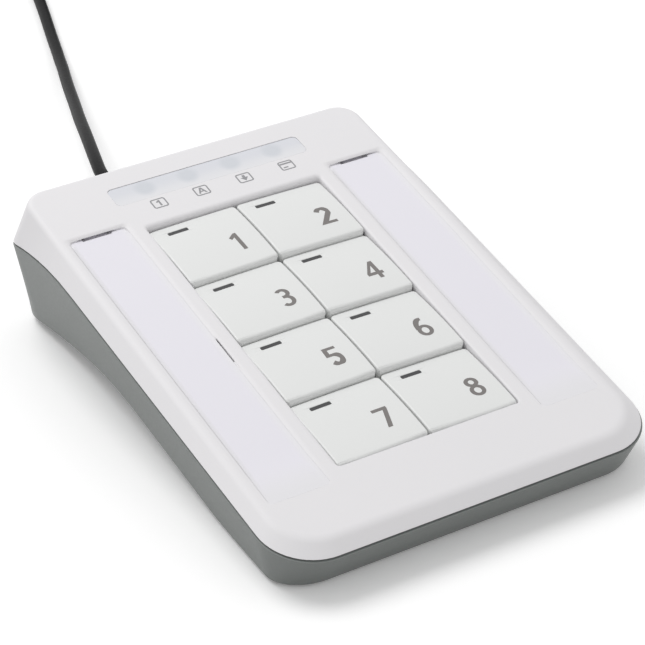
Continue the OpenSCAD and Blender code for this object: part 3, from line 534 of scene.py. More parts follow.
def disc(x, y, r, z, parts=32):
    """A ring of points round x, y."""
    turns = [2 * math.pi * n / parts for n in range(parts)]
    return [Vector((x + r * math.cos(a), y + r * math.sin(a), z)) for a in turns]

# %% [markdown]
# A Boolean cuts or joins two objects, and the result is kept as a plain mesh. Each finished piece
# gets its material, rides on its body and hides the CAD nodes that it stands for.

# %% Cuts and dress
def cut(thing, cutter, operation="DIFFERENCE", crossing=False):
    """Applies a Boolean with another object, whose parts may cross, then drops that object."""
    step = thing.modifiers.new("cut", "BOOLEAN")
    step.operation, step.solver, step.object, step.use_self = operation, "EXACT", cutter, crossing
    mesh = bpy.data.meshes.new_from_object(thing.evaluated_get(bpy.context.evaluated_depsgraph_get()))
    thing.modifiers.clear()
    old, thing.data = thing.data, mesh
    bpy.data.meshes.remove(old)
    bpy.data.objects.remove(cutter)


def dress(thing, material, body="case", replaces=(), even=True):
    """Gives a piece its material, even shading and its body, and hides the CAD nodes that it stands for."""
    thing.data.materials.clear()
    thing.data.materials.append(material)
    if even:
        thing.modifiers.new("even shading", "WEIGHTED_NORMAL").keep_sharp = True
    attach(thing, body)
    if replaces:
        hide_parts(*replaces)
    print(thing.name, "faces:", len(thing.data.polygons))
    return thing

# %% [markdown]
# ## Cord
# One tube with ten sides round its line. Each ring of points stands square to the line, and it is
# turned as little as possible from the ring before it, so the tube never twists.

# %% Cord
def tube(name, path, radius, matrix, sides=10):
    side, rings = Vector((0, 0, 1)), []
    for i, p in enumerate(path):
        way = (path[min(i + 1, len(path) - 1)] - path[max(i - 1, 0)]).normalized()
        side = (side - way * side.dot(way)).normalized()
        other = way.cross(side)
        rings.append([p + (side * math.cos(a) + other * math.sin(a)) * radius
                      for a in [2 * math.pi * k / sides for k in range(sides)]])
    return solid(name, matrix, rings, sharp=60)


cord = tube("usb_cord", [p / MM for p in cord_path], CORD_D / 2, IN_CASE)
dress(cord, black_pvc, replaces=["cord", "cord_coil"], even=False)

# %% [markdown]
# ## Plug and strain relief
# The plug is a guess, because its end isn't in view. Its grip is an overmoulded PVC block with
# rounded edges and three finger grooves, and its shell is folded from nickel-plated sheet with two
# latch windows on each side. Both are drawn upright, from the cord to the tip, and then laid down.

# %% Plug grip
LAY = Matrix.Translation(tail[-1]) @ Matrix.Rotation(math.pi / 2, 4, "X")
PLUG_IN_CASE = IN_CASE @ LAY
GRIP, WAIST = (15.3, 8.0, 2.4), (14.5, 7.3, 2.2)


def slab(width, height, r, z):
    return rounded_rect(-width / 2, width / 2, -height / 2, height / 2, r, z, 6)


profile = [(4.0, 4.0, 1.99, 0.05), (5.0, 5.0, 2.4, 4), (6.4, 6.2, 2.8, 7.6), (11.6, 7.2, 2.9, 8.3),
           (14.2, 7.8, 2.7, 9.0), (*GRIP, 10.4)]
for z in (15, 17.4, 19.8):
    profile += [(*GRIP, z), (*WAIST, z + 0.3), (*WAIST, z + 0.9), (*GRIP, z + 1.2)]
profile += [(*GRIP, 28.8), (14.9, 7.6, 2.3, 29.6), (14.0, 6.8, 2.0, 29.95)]
plug_grip = solid("plug_grip_moulding", PLUG_IN_CASE, [slab(*p) for p in profile])
cut(plug_grip, solid("grip_cutter", PLUG_IN_CASE, boxes=[((-6.02, -2.27, 26.9), (6.02, 2.27, 31))]))
dress(plug_grip, black_pvc, replaces=["plug_grip"])

# %% Plug shell
SHELL_W, SHELL_H, SHEET_T = 12, 4.5, 0.35
profile = [(SHELL_W - 0.1, SHELL_H - 0.1, 0.5, 27.05), (SHELL_W, SHELL_H, 0.5, 27.1),
           (SHELL_W, SHELL_H, 0.5, 41.8), (SHELL_W - 0.2, SHELL_H - 0.2, 0.4, 42)]
plug_shell = solid("plug_shell_sheet", PLUG_IN_CASE, [slab(*p) for p in profile])
hollow = [slab(SHELL_W - 2 * SHEET_T, SHELL_H - 2 * SHEET_T, 0.3, z) for z in (28.1, 43)]
latches = [((x - 1, y, 33.8), (x + 1, y + 3, 36.2)) for x in (-2.6, 2.6) for y in (-4, 1)]
cut(plug_shell, solid("shell_cutter", PLUG_IN_CASE, hollow, boxes=latches), crossing=True)
dress(plug_shell, nickel, replaces=["plug_shell"])

# %% [markdown]
# The strain relief is a tapered sleeve that is slit by rings, so that it bends evenly. It starts
# with a flange inside the rear wall.

# %% Strain relief
RELIEF_L, INSIDE = 18, 3.2
profile = [(4.4, 0.0), (4.4, 1.4), (2.75, 1.45), (2.75, 3.3), (3.2, 3.35), (3.2, 4.7), (3.05, 4.95)]
for i in range(5):
    y, r = 5.8 + 2.6 * i, 2.7 - 0.17 * i
    profile += [(r + 0.06, y), (r - 0.35, y + 0.15), (r - 0.4, y + 0.75), (r + 0.02, y + 0.9)]
profile += [(1.85, 20.6), (1.7, 21.05)]
OUT_OF_WALL = (Matrix.Translation((EXIT_X, TIP_Y - RELIEF_L - INSIDE, EXIT_H))
               @ Matrix.Rotation(-math.pi / 2, 4, "X"))
relief = solid("cord_relief", IN_CASE @ OUT_OF_WALL, [disc(0, 0, r, y) for r, y in profile])
dress(relief, black_pvc, replaces=["strain_relief"])

# %% The cord in the frame
rides_along = [plug_grip, plug_shell]
rides_along += [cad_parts[n] for n in ("plug_tongue", "plug_contacts", "cord_tie")]

# %% [markdown]
# ## Top cover
# A thin shell moulded in one shot: the deck, the rolled edge, the sloping flanks, the opening for
# the keys with its rounded rim, the window slot and a shallow pocket on each side for a label.
# One could cut all this out of a block with Booleans, but the rims would stay sharp. Pulling rings
# gives each rim its own small radius, and only the tab slots and the nail notches are cut.

# %% Sizes of the openings
KEY_W, KEY_D, GAP_X, GAP_Y, FIRST_ROW = 20.9, 19.4, 0.4, 0.25, 20.7
KEY_CREST, KEY_REAR_DROP, KEY_BULGE = 0.2, 0.95, 0.33
PITCH_X, PITCH_Y = KEY_W + GAP_X, KEY_D + GAP_Y
OPEN_HW = PITCH_X
OPEN_REAR, OPEN_FRONT = 0.4 - FIRST_ROW, -FIRST_ROW - 4 * PITCH_Y + GAP_Y - 0.12
RIM_L, RIM_DROP = 1.1, KEY_REAR_DROP - 0.1
LABEL_IN, LABEL_OUT = OPEN_HW + 3.5, DECK_HW - 2.2
LABEL_MID = (LABEL_IN + LABEL_OUT) / 2
LABEL_REAR, LABEL_L, LABEL_DEPTH = 17.7, 84.8, 1.7
LEAN_IN, LEAN_OUT = 0.8, 1.2


print("label pocket %.1f x %.1f mm" % (LABEL_OUT - LABEL_IN, LABEL_L))

# %% Rings in a label pocket
SIDE_SHARES = (0.01, 0.02, 0.035, 0.06, 0.15, 0.3, 0.45, 0.6, 0.75, 0.86, 0.9, 0.93, 0.96, 0.98)
FLOOR_RISE = 0.5


def pocket_depth(y):
    return LABEL_DEPTH - FLOOR_RISE * (-LABEL_REAR - y) / LABEL_L


def with_sides(ring):
    """Adds points along a ring's two long sides."""
    n = len(ring) // 4
    right = [ring[n - 1].lerp(ring[n], s) for s in SIDE_SHARES]
    left = [ring[3 * n].lerp(ring[3 * n - 1], s) for s in reversed(SIDE_SHARES)]
    return ring[:n] + right + ring[n:3 * n] + left + ring[3 * n:]


def pocket_ring(side, deep, gap, end, r=1.0, back=0.0):
    """A ring on the pocket's walls, deep(y) below the deck; gap, end and back draw it in or out."""
    wide = LABEL_OUT - LABEL_IN
    ring = with_sides(rounded_rect(0, wide, end - LABEL_REAR - LABEL_L, back - end - LABEL_REAR, r, 0))
    for v in ring:
        d = deep(v.y)
        inner = LABEL_IN + LEAN_IN * d / LABEL_DEPTH + gap
        outer = LABEL_OUT - LEAN_OUT * d / LABEL_DEPTH - gap
        v.x, v.z = side * (inner + v.x / wide * (outer - inner)), -d
    return ring


def face_depth(y):
    """How deep the middle of the label tray lies; at the front it climbs to the deck."""
    share = (-LABEL_REAR - y) / LABEL_L
    return 0.05 + (0.65 - 0.15 * swell(share, 0, 0.4)) * (1 - swell(share, 0.86, 1.0))

# %% Rings of the openings
UNDER, SKIRT_LOW, TRAY_LOW = -1.9, -3.6, -3.2
RIM_R, KEY_HOLE_R, WINDOW_R = 0.8, 0.8, 1.2
KEY_HOLE = (-OPEN_HW, OPEN_HW, OPEN_FRONT, OPEN_REAR, KEY_HOLE_R)
WINDOW_HOLE = (-WINDOW_W / 2, WINDOW_W / 2, -WINDOW_REAR - WINDOW_D, -WINDOW_REAR, WINDOW_R)


def rim_ring(share, fall_share):
    """The rounded rim of the key opening; it slopes down further at the rear."""
    def z(x, y):
        return -fall_share * (0.25 + (RIM_DROP - 0.25) * swell(y, OPEN_REAR - 1.6, OPEN_REAR - 0.2))
    side, front, rear = RIM_R * share, 0.12 * share, RIM_L * share
    x, y0, y1 = OPEN_HW + side, OPEN_FRONT - front, OPEN_REAR + rear
    return rounded_rect(-x, x, y0, y1, KEY_HOLE_R + side, z)


def pocket_rings(side):
    """A soft slope behind the pocket, nearly upright walls and a small fillet at the floor."""
    rings = []
    for t in (0, 0.17, 0.33, 0.5, 0.67, 0.83, 1):
        def slope(y):
            half = 0.5 * face_depth(y)
            return t * t * (half + (0.36 - half) * swell(y, -LABEL_REAR - 1.2, -LABEL_REAR))
        rings.append(pocket_ring(side, slope, -0.95 * (1 - t), 0, back=0.9 * (1 - t)))
    for above_floor, gap, end in ((0.3, 0, 0), (0.05, 0.08, 0.05), (0, 0.4, 0.3)):
        rings.append(pocket_ring(side, lambda y: pocket_depth(y) - above_floor, gap, end))
    return rings


def tray_ring(side, z):
    """The underside of a pocket, seen from inside the case."""
    x0, x1 = sorted((side * (LABEL_IN - 1), side * (LABEL_OUT + 1)))
    return rounded_rect(x0, x1, -LABEL_REAR - LABEL_L - 1.2, 2.5 - LABEL_REAR, 1.0, z)

# %% Top cover
ROLL, LIP = 1.1, 0.3


def top_cover():
    bm = bmesh.new()
    top = [Vector((x, y, 0)) for x, y, _, _ in deck_ring(0)]
    way = [Vector((u, v, 0)) for _, _, u, v in deck_ring(0)]
    mid = [Vector((x, y, seam_z(y))) for x, y, _, _ in seam_ring(0)]
    rim = [m + (t - m) * (SEAM_GAP / 2 / (t.z - m.z)) for t, m in zip(top, mid)]
    fall = [(m - t).normalized() for t, m in zip(top, mid)]
    rolls = [bend_between(t - w * ROLL, t, t + f * ROLL, 6) for t, w, f in zip(top, way, fall)]
    lips = [bend_between(r - f * LIP, r, r - w * LIP, 3) for r, f, w in zip(rim, fall, way)]
    inner = [Vector((x, y, min(seam_z(y) + SEAM_GAP / 2, UNDER - 0.05))) for x, y, _, _ in seam_ring(WALL)]
    under = [Vector((x, y, UNDER)) for x, y, _, _ in deck_ring(WALL)]
    rims = [rim_ring(1 - math.sin(a), 1 - math.cos(a)) for a in map(math.radians, range(0, 91, 15))]
    skirt = [grown(*KEY_HOLE, grow, z) for grow, z in ((0, SKIRT_LOW), (1.2, SKIRT_LOW), (1.2, UNDER))]
    window = [grown(*WINDOW_HOLE, grow, z) for grow, z in ((0.02, 0), (0, -0.02), (0, UNDER))]
    walls = [*zip(*rolls), *zip(*lips), inner, under]
    fields = [skin(bm, rings) for rings in (walls, rims + skirt, window)]
    for side in (-1, 1):
        mouth, floor = skin(bm, pocket_rings(side))
        floor_strips(bm, floor)
        hole, lid = skin(bm, [tray_ring(side, UNDER), tray_ring(side, TRAY_LOW)])
        close_field(bm, lid)
        fields.append((mouth, hole))
    for edges in zip(*fields):
        close_field(bm, *edges)
    return settle(bm, "case_top", TO_CASE)


case_top = top_cover()

# %% Slots and notches in the pockets
NOTCH_Y = -LABEL_REAR - LABEL_L / 2
slots, notches = [], []
for side, roof in ((-1, 0.5), (1, -0.35)):
    slots.append(((side * LABEL_MID - 3.5, -LABEL_REAR - 0.6, 0.02 - LABEL_DEPTH),
                  (side * LABEL_MID + 3.5, 1.5 - LABEL_REAR, -0.42)))
    nail = [(0.3, roof), (0.3, -1.3), (-0.7, -1.3), (-0.7, -0.5), (-0.16, -0.5), (-0.16, roof)]
    notches.append([[Vector((side * (LABEL_IN + x), NOTCH_Y + y, z)) for x, z in nail] for y in (-4.3, 3.2)])
cut(case_top, solid("slot_cutter", TO_CASE, *notches, boxes=slots))
dress(case_top, white_abs, replaces=["top_cover"])

# %% [markdown]
# ## Label covers
# A frosted sheet lies in each pocket over its card. It is a shade more violet than the deck.
# Along its sides and its front edge the tint fades to the deck's white.

# %% Label cover material
def sheet_fade(tree, tint):
    off = add(tree, "SeparateXYZ", {0: add(tree, "TexCoord").outputs["Object"]})
    for shift in (0, LABEL_MID * MM):
        off = add(tree, "Math", {0: off, 1: shift}, operation="SUBTRACT")
        off = add(tree, "Math", {0: off}, operation="ABSOLUTE")
    half = (LABEL_OUT - LABEL_IN) / 2 * MM
    side = add(tree, "MapRange", {0: off, 1: 0.7 * half, 2: half}, interpolation_type="SMOOTHSTEP")
    front = along_deck(tree, 10 - LABEL_REAR - LABEL_L, 1 - LABEL_REAR - LABEL_L)
    return tinted(tree, tint, (add(tree, "Math", {0: side, 1: front}, operation="MAXIMUM"), "#E9E8EB"))


label_pc = surface("frosted label cover", "#ECEAF1", "#EBE9F0", 0.6, 0.5, 0.004, fade=sheet_fade,
                   Specular_IOR_Level=0.3)

# %% [markdown]
# The sheet's edges lean with the pocket's walls, 0.03 to 0.05 mm from them, and its upper edge is
# rounded over, so the joint hardly shows. A tab at its rear end goes into the slot under the deck.

# %% Label covers
CARD_T, CARD_PLAY = 0.25, 0.04
COVER_LOW = CARD_PLAY + CARD_T


def cover_low(y):
    return pocket_depth(y) - COVER_LOW


def cover_face(share):
    """From the edge, halfway up the tray's side, to the middle; the rear edge stays low."""
    def deep(y):
        rear = swell(y, -LABEL_REAR - 2.6, -LABEL_REAR - 0.8)
        return face_depth(y) * (0.5 + 0.5 * max(share, rear)) + 0.01
    return deep


def label_cover(side, name):
    bm = bmesh.new()
    edge = cover_face(0)
    rings = [(cover_low, 0.11, 0.1), (lambda y: cover_low(y) - 0.08, 0.05, 0.05),
             (lambda y: edge(y) + 0.04, 0.03, 0.04)]
    rings += [(cover_face(1 - (1 - i / 6) ** 2), 0.04 + 0.16 * i, 0.05 + 0.2 * i) for i in range(7)]
    for end in skin(bm, [pocket_ring(side, deep, gap, end, 0.8) for deep, gap, end in rings]):
        floor_strips(bm, end)
    cover = settle(bm, name, TO_CASE)
    mid, rear, low = side * LABEL_MID, -LABEL_REAR, COVER_LOW - LABEL_DEPTH
    step = ((mid - 3.45, rear - 0.6, low + 0.35), (mid + 3.45, rear + 1, 1))
    tab = ((mid - 2.5, rear - 0.8, low + 0.05), (mid + 2.5, rear + 0.9, low + 0.3))
    cut(cover, solid("step_cutter", TO_CASE, boxes=[step]))
    cut(cover, solid("tab", TO_CASE, boxes=[tab]), "UNION")
    return cover


for side, way in ((-1, "left"), (1, "right")):
    node = "label_cover_" + way
    dress(label_cover(side, "label_sheet_" + way), label_pc, node, [node])

# %% [markdown]
# ## Indicator window
# The insert is flush with the deck along its front edge and lies a little lower along its rear
# edge, which leaves a thin shadow line behind it. It has a flange under the deck.

# %% Indicator window
FLANGE, FLANGE_T = 1.2, 0.8


def window_piece():
    x, y0, y1 = WINDOW_W / 2, 0.015 - WINDOW_REAR - WINDOW_D, -0.07 - WINDOW_REAR

    def top_z(px, py):
        return -0.01 - 0.12 * swell((py - y0) / (y1 - y0), 0.5, 1.0)
    rings = [rounded_rect(-x - FLANGE, x + FLANGE, y0 - FLANGE, y1 + FLANGE, WINDOW_R, z)
             for z in (-WALL - FLANGE_T, -WALL - 0.05)]
    rings += [rounded_rect(0.03 + inset - x, x - inset - 0.05, y0 + inset, y1 - inset, WINDOW_R, z)
              for inset, z in ((0, -WALL - 0.04), (0, top_z), (1.5, top_z))]
    return solid("window_insert", TO_CASE, rings)


dress(window_piece(), window_pc, replaces=["led_window"])

# %% [markdown]
# ## Bottom cover
# The grey tray leans in below the parting line. Under it an arch rises from a flat sole at the
# front to the middle and falls again to the rear edge. Each point of the parting line runs down
# its own straight line to where that line meets the arch.

# %% Bottom cover
FOOT_OUT, SOLE_L, ARCH_R = 0.5, 29.4, 60.0
LEAN_FRONT, LEAN_SIDE, LEAN_REAR = 28, 12, 1
ARCH_SLOPE = TILT - math.radians(0.4)
ARCH_FRONT, ARCH_REAR = -BODY_L / 2 + SOLE_L, BODY_L / 2 + 1.5
ARCH_Y = (ARCH_FRONT + ARCH_REAR) / 2
ARCH_Z = FOOT_OUT + math.tan(ARCH_SLOPE) * (ARCH_Y - ARCH_FRONT) - ARCH_R / math.cos(ARCH_SLOPE)


def underside(y):
    if y < ARCH_FRONT:
        return FOOT_OUT
    if abs(y - ARCH_Y) < ARCH_R * math.sin(ARCH_SLOPE):
        return ARCH_Z + math.sqrt(ARCH_R ** 2 - (y - ARCH_Y) ** 2)
    return FOOT_OUT + math.tan(ARCH_SLOPE) * (y - ARCH_FRONT if y < ARCH_Y else ARCH_REAR - y)


def side_lines(inset, raise_by):
    """For each point of the ring: its place at the parting line, where its line meets the arch, the
    outward direction and the line's own."""
    lines = []
    for x, y, u, v in seam_ring(inset):
        head = DECK @ Vector((x, y, seam_z(y) - SEAM_GAP / 2))
        draft = math.tan(math.radians(LEAN_FRONT if v < 0 else LEAN_REAR))
        aim = Vector((-u * math.tan(math.radians(LEAN_SIDE)), -v * draft, -1))
        near, far = 0.0, head.z
        for _ in range(40):
            half = (near + far) / 2
            p = head + aim * half
            near, far = (half, far) if p.z > underside(p.y) + raise_by else (near, half)
        lines.append((head, head + aim * near, Vector((u, v, 0)), aim.normalized()))
    return lines


def bottom_cover():
    bm = bmesh.new()
    outer, inner = side_lines(0, 0), side_lines(WALL, WALL)
    lips = [bend_between(h - n * LIP, h, h + a * LIP, 3) for h, f, n, a in outer]
    soles = []
    for h, f, n, a in outer:
        tuck = f - n * 0.8
        tuck.z = underside(tuck.y)
        soles.append(bend_between(f - a * 0.8, f, tuck, 4))
    inside, sole = skin(bm, [[h for h, f, n, a in inner], *zip(*lips), *zip(*soles)])
    floor_strips(bm, sole)
    floor_strips(bm, pull(bm, inside, [f for h, f, n, a in inner]))
    return settle(bm, "case_bottom", IN_CASE)


case_bottom = bottom_cover()

# %% Screw posts, screw holes, foot seats and the cord's exit
SCREWS = (((SEAM_HW - 9.1, -BODY_L / 2 + 11), 6.45), ((LABEL_MID + 4.8, REAR_Y - 9.2), 11.95))
FEET = ((33.0, -BODY_L / 2 + 21), (LABEL_MID - 5.2, BODY_L / 2 - 9.5))
POST_R, HEAD_R, SHAFT_R, SEAT_R, EXIT_R = 3.0, 2.5, 1.4, 4.05, 2.85
HEAD_DEPTH, SEAT_DEPTH = 3.0, 0.9
posts, heads, shafts, seats = (bmesh.new() for _ in range(4))
for side in (-1, 1):
    for (x, y), top in SCREWS:
        at, floor = (side * x, y, 0), underside(y)
        rod(posts, at, floor + 0.6, top, POST_R)
        rod(heads, at, -2, floor + HEAD_DEPTH, HEAD_R)
        rod(shafts, at, floor + 2, top + 3, SHAFT_R)
    for x, y in FEET:
        rod(seats, (side * x, y, 0), -2, underside(y) + SEAT_DEPTH, SEAT_R, segments=64)
rod(heads, (EXIT_X, BODY_L / 2 - 1, EXIT_H), -4, 4, EXIT_R, turn=Matrix.Rotation(math.pi / 2, 4, "X"))
cut(case_bottom, settle(posts, "posts", IN_CASE), "UNION")
for name, bm in (("heads", heads), ("shafts", shafts), ("seats", seats)):
    cut(case_bottom, settle(bm, name, IN_CASE))
    print(name, "cut, faces left:", len(case_bottom.data.polygons))
dress(case_bottom, grey_abs, replaces=["bottom_cover"])

# %% [markdown]
# ## Keys
# Each cap is a hollow box with a slightly domed top. The top climbs from its rear edge to a
# rounded front edge, so that a fingertip finds the rows. The cap starts as a cube: its upright
# edges are bevelled, it is sliced across, its top is lifted on to the dome, and the rim of the
# top gets its own small bevel.

# %% Key shape
NOSE, SKIRT = 0.8, -3.0
CREST_Y = NOSE - KEY_D
BAR_X, BAR_Y, BAR_W, BAR_D = 3.4 + 2.4 - KEY_W / 2, -2.75, 4.8, 1.05
SADDLE = 1106


def key_height(x, y):
    """The top's height above the deck; x is measured from the middle of the case."""
    if y < CREST_Y:
        share = min(1, (CREST_Y - y) / NOSE)
        rise = KEY_CREST + NOSE * (math.sqrt(1 - share * share) - 1)
    else:
        t = y / CREST_Y
        rise = -KEY_REAR_DROP + (KEY_CREST + KEY_REAR_DROP) * t + 4 * KEY_BULGE * t * (1 - t)
    return rise - x * x / SADDLE


def key_origin(k):
    return Vector((((k - 1) % 2 - 0.5) * PITCH_X, -FIRST_ROW - (k - 1) // 2 * PITCH_Y, 0))


def slice_at(bm, co, normal):
    geom = bm.verts[:] + bm.edges[:] + bm.faces[:]
    bmesh.ops.bisect_plane(bm, geom=geom, plane_co=co, plane_no=normal, dist=1e-5)

# %% Key cap
CORNER_R, EDGE_R, CAP_WALL, ROOF = 1.0, 0.35, 1.3, 1.3
BLANK_TOP, NOSE_CUTS = 1, (15, 30, 45, 60)


def key_cap(k):
    bm = bmesh.new()
    box_between(bm, (-KEY_W / 2, -KEY_D, SKIRT), (KEY_W / 2, 0, BLANK_TOP))
    upright = [e for e in bm.edges if abs(e.verts[0].co.z - e.verts[1].co.z) > 1]
    bmesh.ops.bevel(bm, geom=upright, offset=CORNER_R, segments=5, profile=0.5, affect="EDGES", material=-1)
    base = min(bm.faces, key=lambda f: f.calc_center_median().z)
    bmesh.ops.inset_individual(bm, faces=[base], thickness=CAP_WALL, depth=0)
    made = bmesh.ops.extrude_discrete_faces(bm, faces=[base])["faces"]
    for v in made[0].verts:
        v.co.z = -KEY_REAR_DROP - ROOF
    levels = [CREST_Y * i / 10 for i in range(1, 11)]
    for y in levels + [CREST_Y - NOSE * math.sin(math.radians(a)) for a in NOSE_CUTS]:
        slice_at(bm, (0, y, 0), (0, 1, 0))
    for x in (-5, 0, 5):
        slice_at(bm, (x, 0, 0), (1, 0, 0))
    at = key_origin(k)
    crown = {v for v in bm.verts if v.co.z > BLANK_TOP - 0.1}
    # the rim of the top, without its front end, which the nose has rounded already
    rim = [e for e in bm.edges if crown.issuperset(e.verts)
           and any(abs(f.normal.z) < 0.5 for f in e.link_faces)
           and (e.verts[0].co.y + e.verts[1].co.y) / 2 > 0.02 - KEY_D]
    for v in crown:
        v.co.z = key_height(v.co.x + at.x, v.co.y)
    bmesh.ops.bevel(bm, geom=rim, offset=EDGE_R, segments=4, profile=0.5, affect="EDGES", material=-1)
    return settle(bm, "key_cap_%d" % k, TO_CASE @ Matrix.Translation(at), 40)

# %% [markdown]
# Under the roof stands a stem whose outline is a plus sign, so that it is stiff and light, with a
# guide rib on each side. The light bar is a clear insert that looks dark until its lamp is lit; its
# dark colour is painted shade, the unlit inside of the key seen through it. It is let into the roof.

# %% Stem and light bar
STEM_LOW, STEM_TOP, ARM, ARM_HALF, RIB_X = -7.75, -2.1, 2.75, 0.8, 7.5
BAR_LOW, BAR_R, BAR_PLAY, BAR_SUNK = -2.6, 0.3, 0.01, 0.02
BAR = (BAR_X - BAR_W / 2, BAR_X + BAR_W / 2, BAR_Y - BAR_D / 2, BAR_Y + BAR_D / 2, BAR_R)


def key_stem(place):
    mid, a, b = -KEY_D / 2, ARM, ARM_HALF
    right = [(b, a), (b, b), (a, b), (a, -b), (b, -b), (b, -a)]
    plus = right + [(-x, -y) for x, y in right]
    stem = [[Vector((x, mid + y, z)) for x, y in plus] for z in (STEM_LOW, STEM_TOP)]
    ribs = [((x - 0.6, mid - 2, STEM_LOW + 0.05), (x + 0.6, mid + 2, STEM_TOP)) for x in (-RIB_X, RIB_X)]
    return solid("stem", place, stem, boxes=ribs)


def light_bar(name, place, play, top):
    """The bar, or with no play the hole for it; top is a level or a function of x, y."""
    return solid(name, place, [grown(*BAR, -play, z, 4) for z in (BAR_LOW, top)])

# %% [markdown]
# ## Digits and marks
# The digits are pad-printed. Each is drawn with a broad pen whose upright strokes are heavier than
# its level ones: a line of points is widened to both sides into a flat outline. Outlines that
# cross are joined, and the flat shape is then laid on the key's dome as a coat 0.02 mm thick.

# %% Pen
UPRIGHT, LEVEL = 0.94, 0.66


def arc(cx, cy, rx, ry, start, end, parts=14):
    turns = [math.radians(start + (end - start) * i / parts) for i in range(parts + 1)]
    return [(cx + rx * math.cos(a), cy + ry * math.sin(a)) for a in turns]


def pen(points):
    """Widens a line of points into a closed outline; sharp corners are mitred."""
    left, right = [], []
    pts = [Vector(p) for p in points]
    for i, p in enumerate(pts):
        before = (p - pts[i - 1]).normalized() if i else (pts[1] - p).normalized()
        after = (pts[i + 1] - p).normalized() if i < len(pts) - 1 else before
        half, other = ((UPRIGHT * abs(way.y) + LEVEL * abs(way.x)) / 2 for way in (before, after))
        n0, n1 = Vector((-before.y, before.x)), Vector((-after.y, after.x))
        cross = n0.x * n1.y - n0.y * n1.x
        if abs(cross) > 0.3:
            # the meeting point of the two widened lines
            shift = Vector(((half * n1.y - other * n0.y) / cross, (n0.x * other - n1.x * half) / cross))
        else:
            shift = (n0 + n1).normalized() * (half + other) / 2
        left.append(p + shift)
        right.append(p - shift)
    return [left + right[::-1]]


def ring_stroke(cx, cy, rx, ry):
    """A closed oval stroke as its outer and its inner outline."""
    return [arc(cx, cy, rx + way * UPRIGHT / 2, ry + way * LEVEL / 2, 0, 360, 36)[:-1] for way in (1, -1)]

# %% Outlines of the digits and marks
DIGITS = {
    1: [[[(0.8, -2.5), (0.8, 2.5), (0.15, 2.5), (-1.3, 1.5), (-0.92, 0.85), (-0.12, 1.35), (-0.12, -2.5)]]],
    2: [pen(arc(0.05, 1.0, 1.25, 1.14, 160, -20) + [(0.75, 0.1), (-1.2, -2.14), (1.75, -2.14)])],
    3: [[arc(0.05, 1.19, 1.62, 1.29, 145, -48) + arc(0, -0.98, 1.75, 1.49, 50, -145)
         + arc(0, -0.98, 0.78, 0.82, -145, 90) + [(-0.45, -0.16), (-0.45, 0.57)]
         + arc(0.05, 1.19, 0.66, 0.62, -90, 145)]],
    4: [[[(0.35, 2.5), (1.25, 2.5), (1.25, -0.65), (1.9, -0.65), (1.9, -1.4), (1.25, -1.4),
          (1.25, -2.5), (0.3, -2.5), (0.3, -1.4), (-1.85, -1.4), (-1.85, -0.75)],
         [(0.3, -0.65), (0.3, 1.3), (-0.95, -0.65)]]],
    5: [pen([(1.45, 2.14), (-1.0, 2.14), (-1.15, 0.4)] + arc(0.05, -0.86, 1.2, 1.26, 100, -152))],
    6: [ring_stroke(0.05, -0.95, 1.25, 1.17), pen(arc(0.6, -0.55, 1.8, 2.75, 82, 178))],
    7: [[[(-1.75, 2.5), (1.7, 2.5), (1.7, 1.95), (0.1, -2.5), (-0.95, -2.5), (0.65, 1.78), (-1.75, 1.78)]]],
    8: [ring_stroke(0, 1.22, 1.08, 0.9), ring_stroke(0, -1.05, 1.25, 1.08)],
}
BOX = [[p.xy for p in rounded_rect(-x, x, -y, y, r, 0)]
       for x, y, r in ((1.75, 1.5, 0.55), (1.44, 1.19, 0.27))]
ONE = [[(0.35, -0.9), (0.35, 0.95), (0.0, 0.95), (-0.6, 0.5), (-0.42, 0.2), (-0.07, 0.42), (-0.07, -0.9)]]
LETTER = [[(-1.0, -0.88), (-0.24, 0.95), (0.24, 0.95), (1.0, -0.88), (0.56, -0.88), (0.38, -0.42),
           (-0.38, -0.42), (-0.56, -0.88)], [(-0.24, -0.1), (0.24, -0.1), (0.0, 0.5)]]
ARROW = [[(-0.33, 0.9), (0.33, 0.9), (0.33, 0.15), (0.9, 0.15), (0.0, -0.95), (-0.9, 0.15), (-0.33, 0.15)]]
BAND, LINE = ([[(x0, y0), (x1, y0), (x1, y1), (x0, y1)]]
              for x0, x1, y0, y1 in ((-1.5, 1.5, 0.4, 0.85), (-1.05, 0.1, -0.75, -0.4)))
MARKS = ((-14.9, [BOX, ONE]), (-4.6, [BOX, LETTER]), (6.0, [BOX, ARROW]), (16.6, [BOX, BAND, LINE]))

# %% Printed coats
COAT_T, COAT_ROOT = 0.02, 0.05


def plate(loops, name, x, y, tall):
    """A flat shape, 1 mm thick, from an outline and its holes."""
    bm = bmesh.new()
    rings = [start_ring(bm, [Vector((px + x, py * tall + y, 0)) for px, py in loop]) for loop in loops]
    close_field(bm, *rings)
    for v in bmesh.ops.extrude_face_region(bm, geom=bm.faces[:])["geom"]:
        if isinstance(v, bmesh.types.BMVert):
            v.co.z = 1
    return settle(bm, name)


def printed(shapes, name, x, y, height, matrix, cuts=(), tall=1.0):
    """Joins flat shapes and lays them on a surface; height(x, y) is that surface's height."""
    whole, *strokes = [plate(loops, name, x, y, tall) for loops in shapes]
    for stroke in strokes:
        cut(whole, stroke, "UNION")
    bm = bmesh.new()
    bm.from_mesh(whole.data)
    bpy.data.objects.remove(whole)
    for level in cuts:
        slice_at(bm, (0, level, 0), (0, 1, 0))
    for v in bm.verts:
        v.co.z = height(v.co.x, v.co.y) + (COAT_T if v.co.z > 0.5 else -COAT_ROOT)
    return settle(bm, name, matrix)

# %% [markdown]
# Each key is put together from its cap, its stem, its light bar and its digit, which all ride on
# the key's body. The marks lie beside the lamps, on the deck.

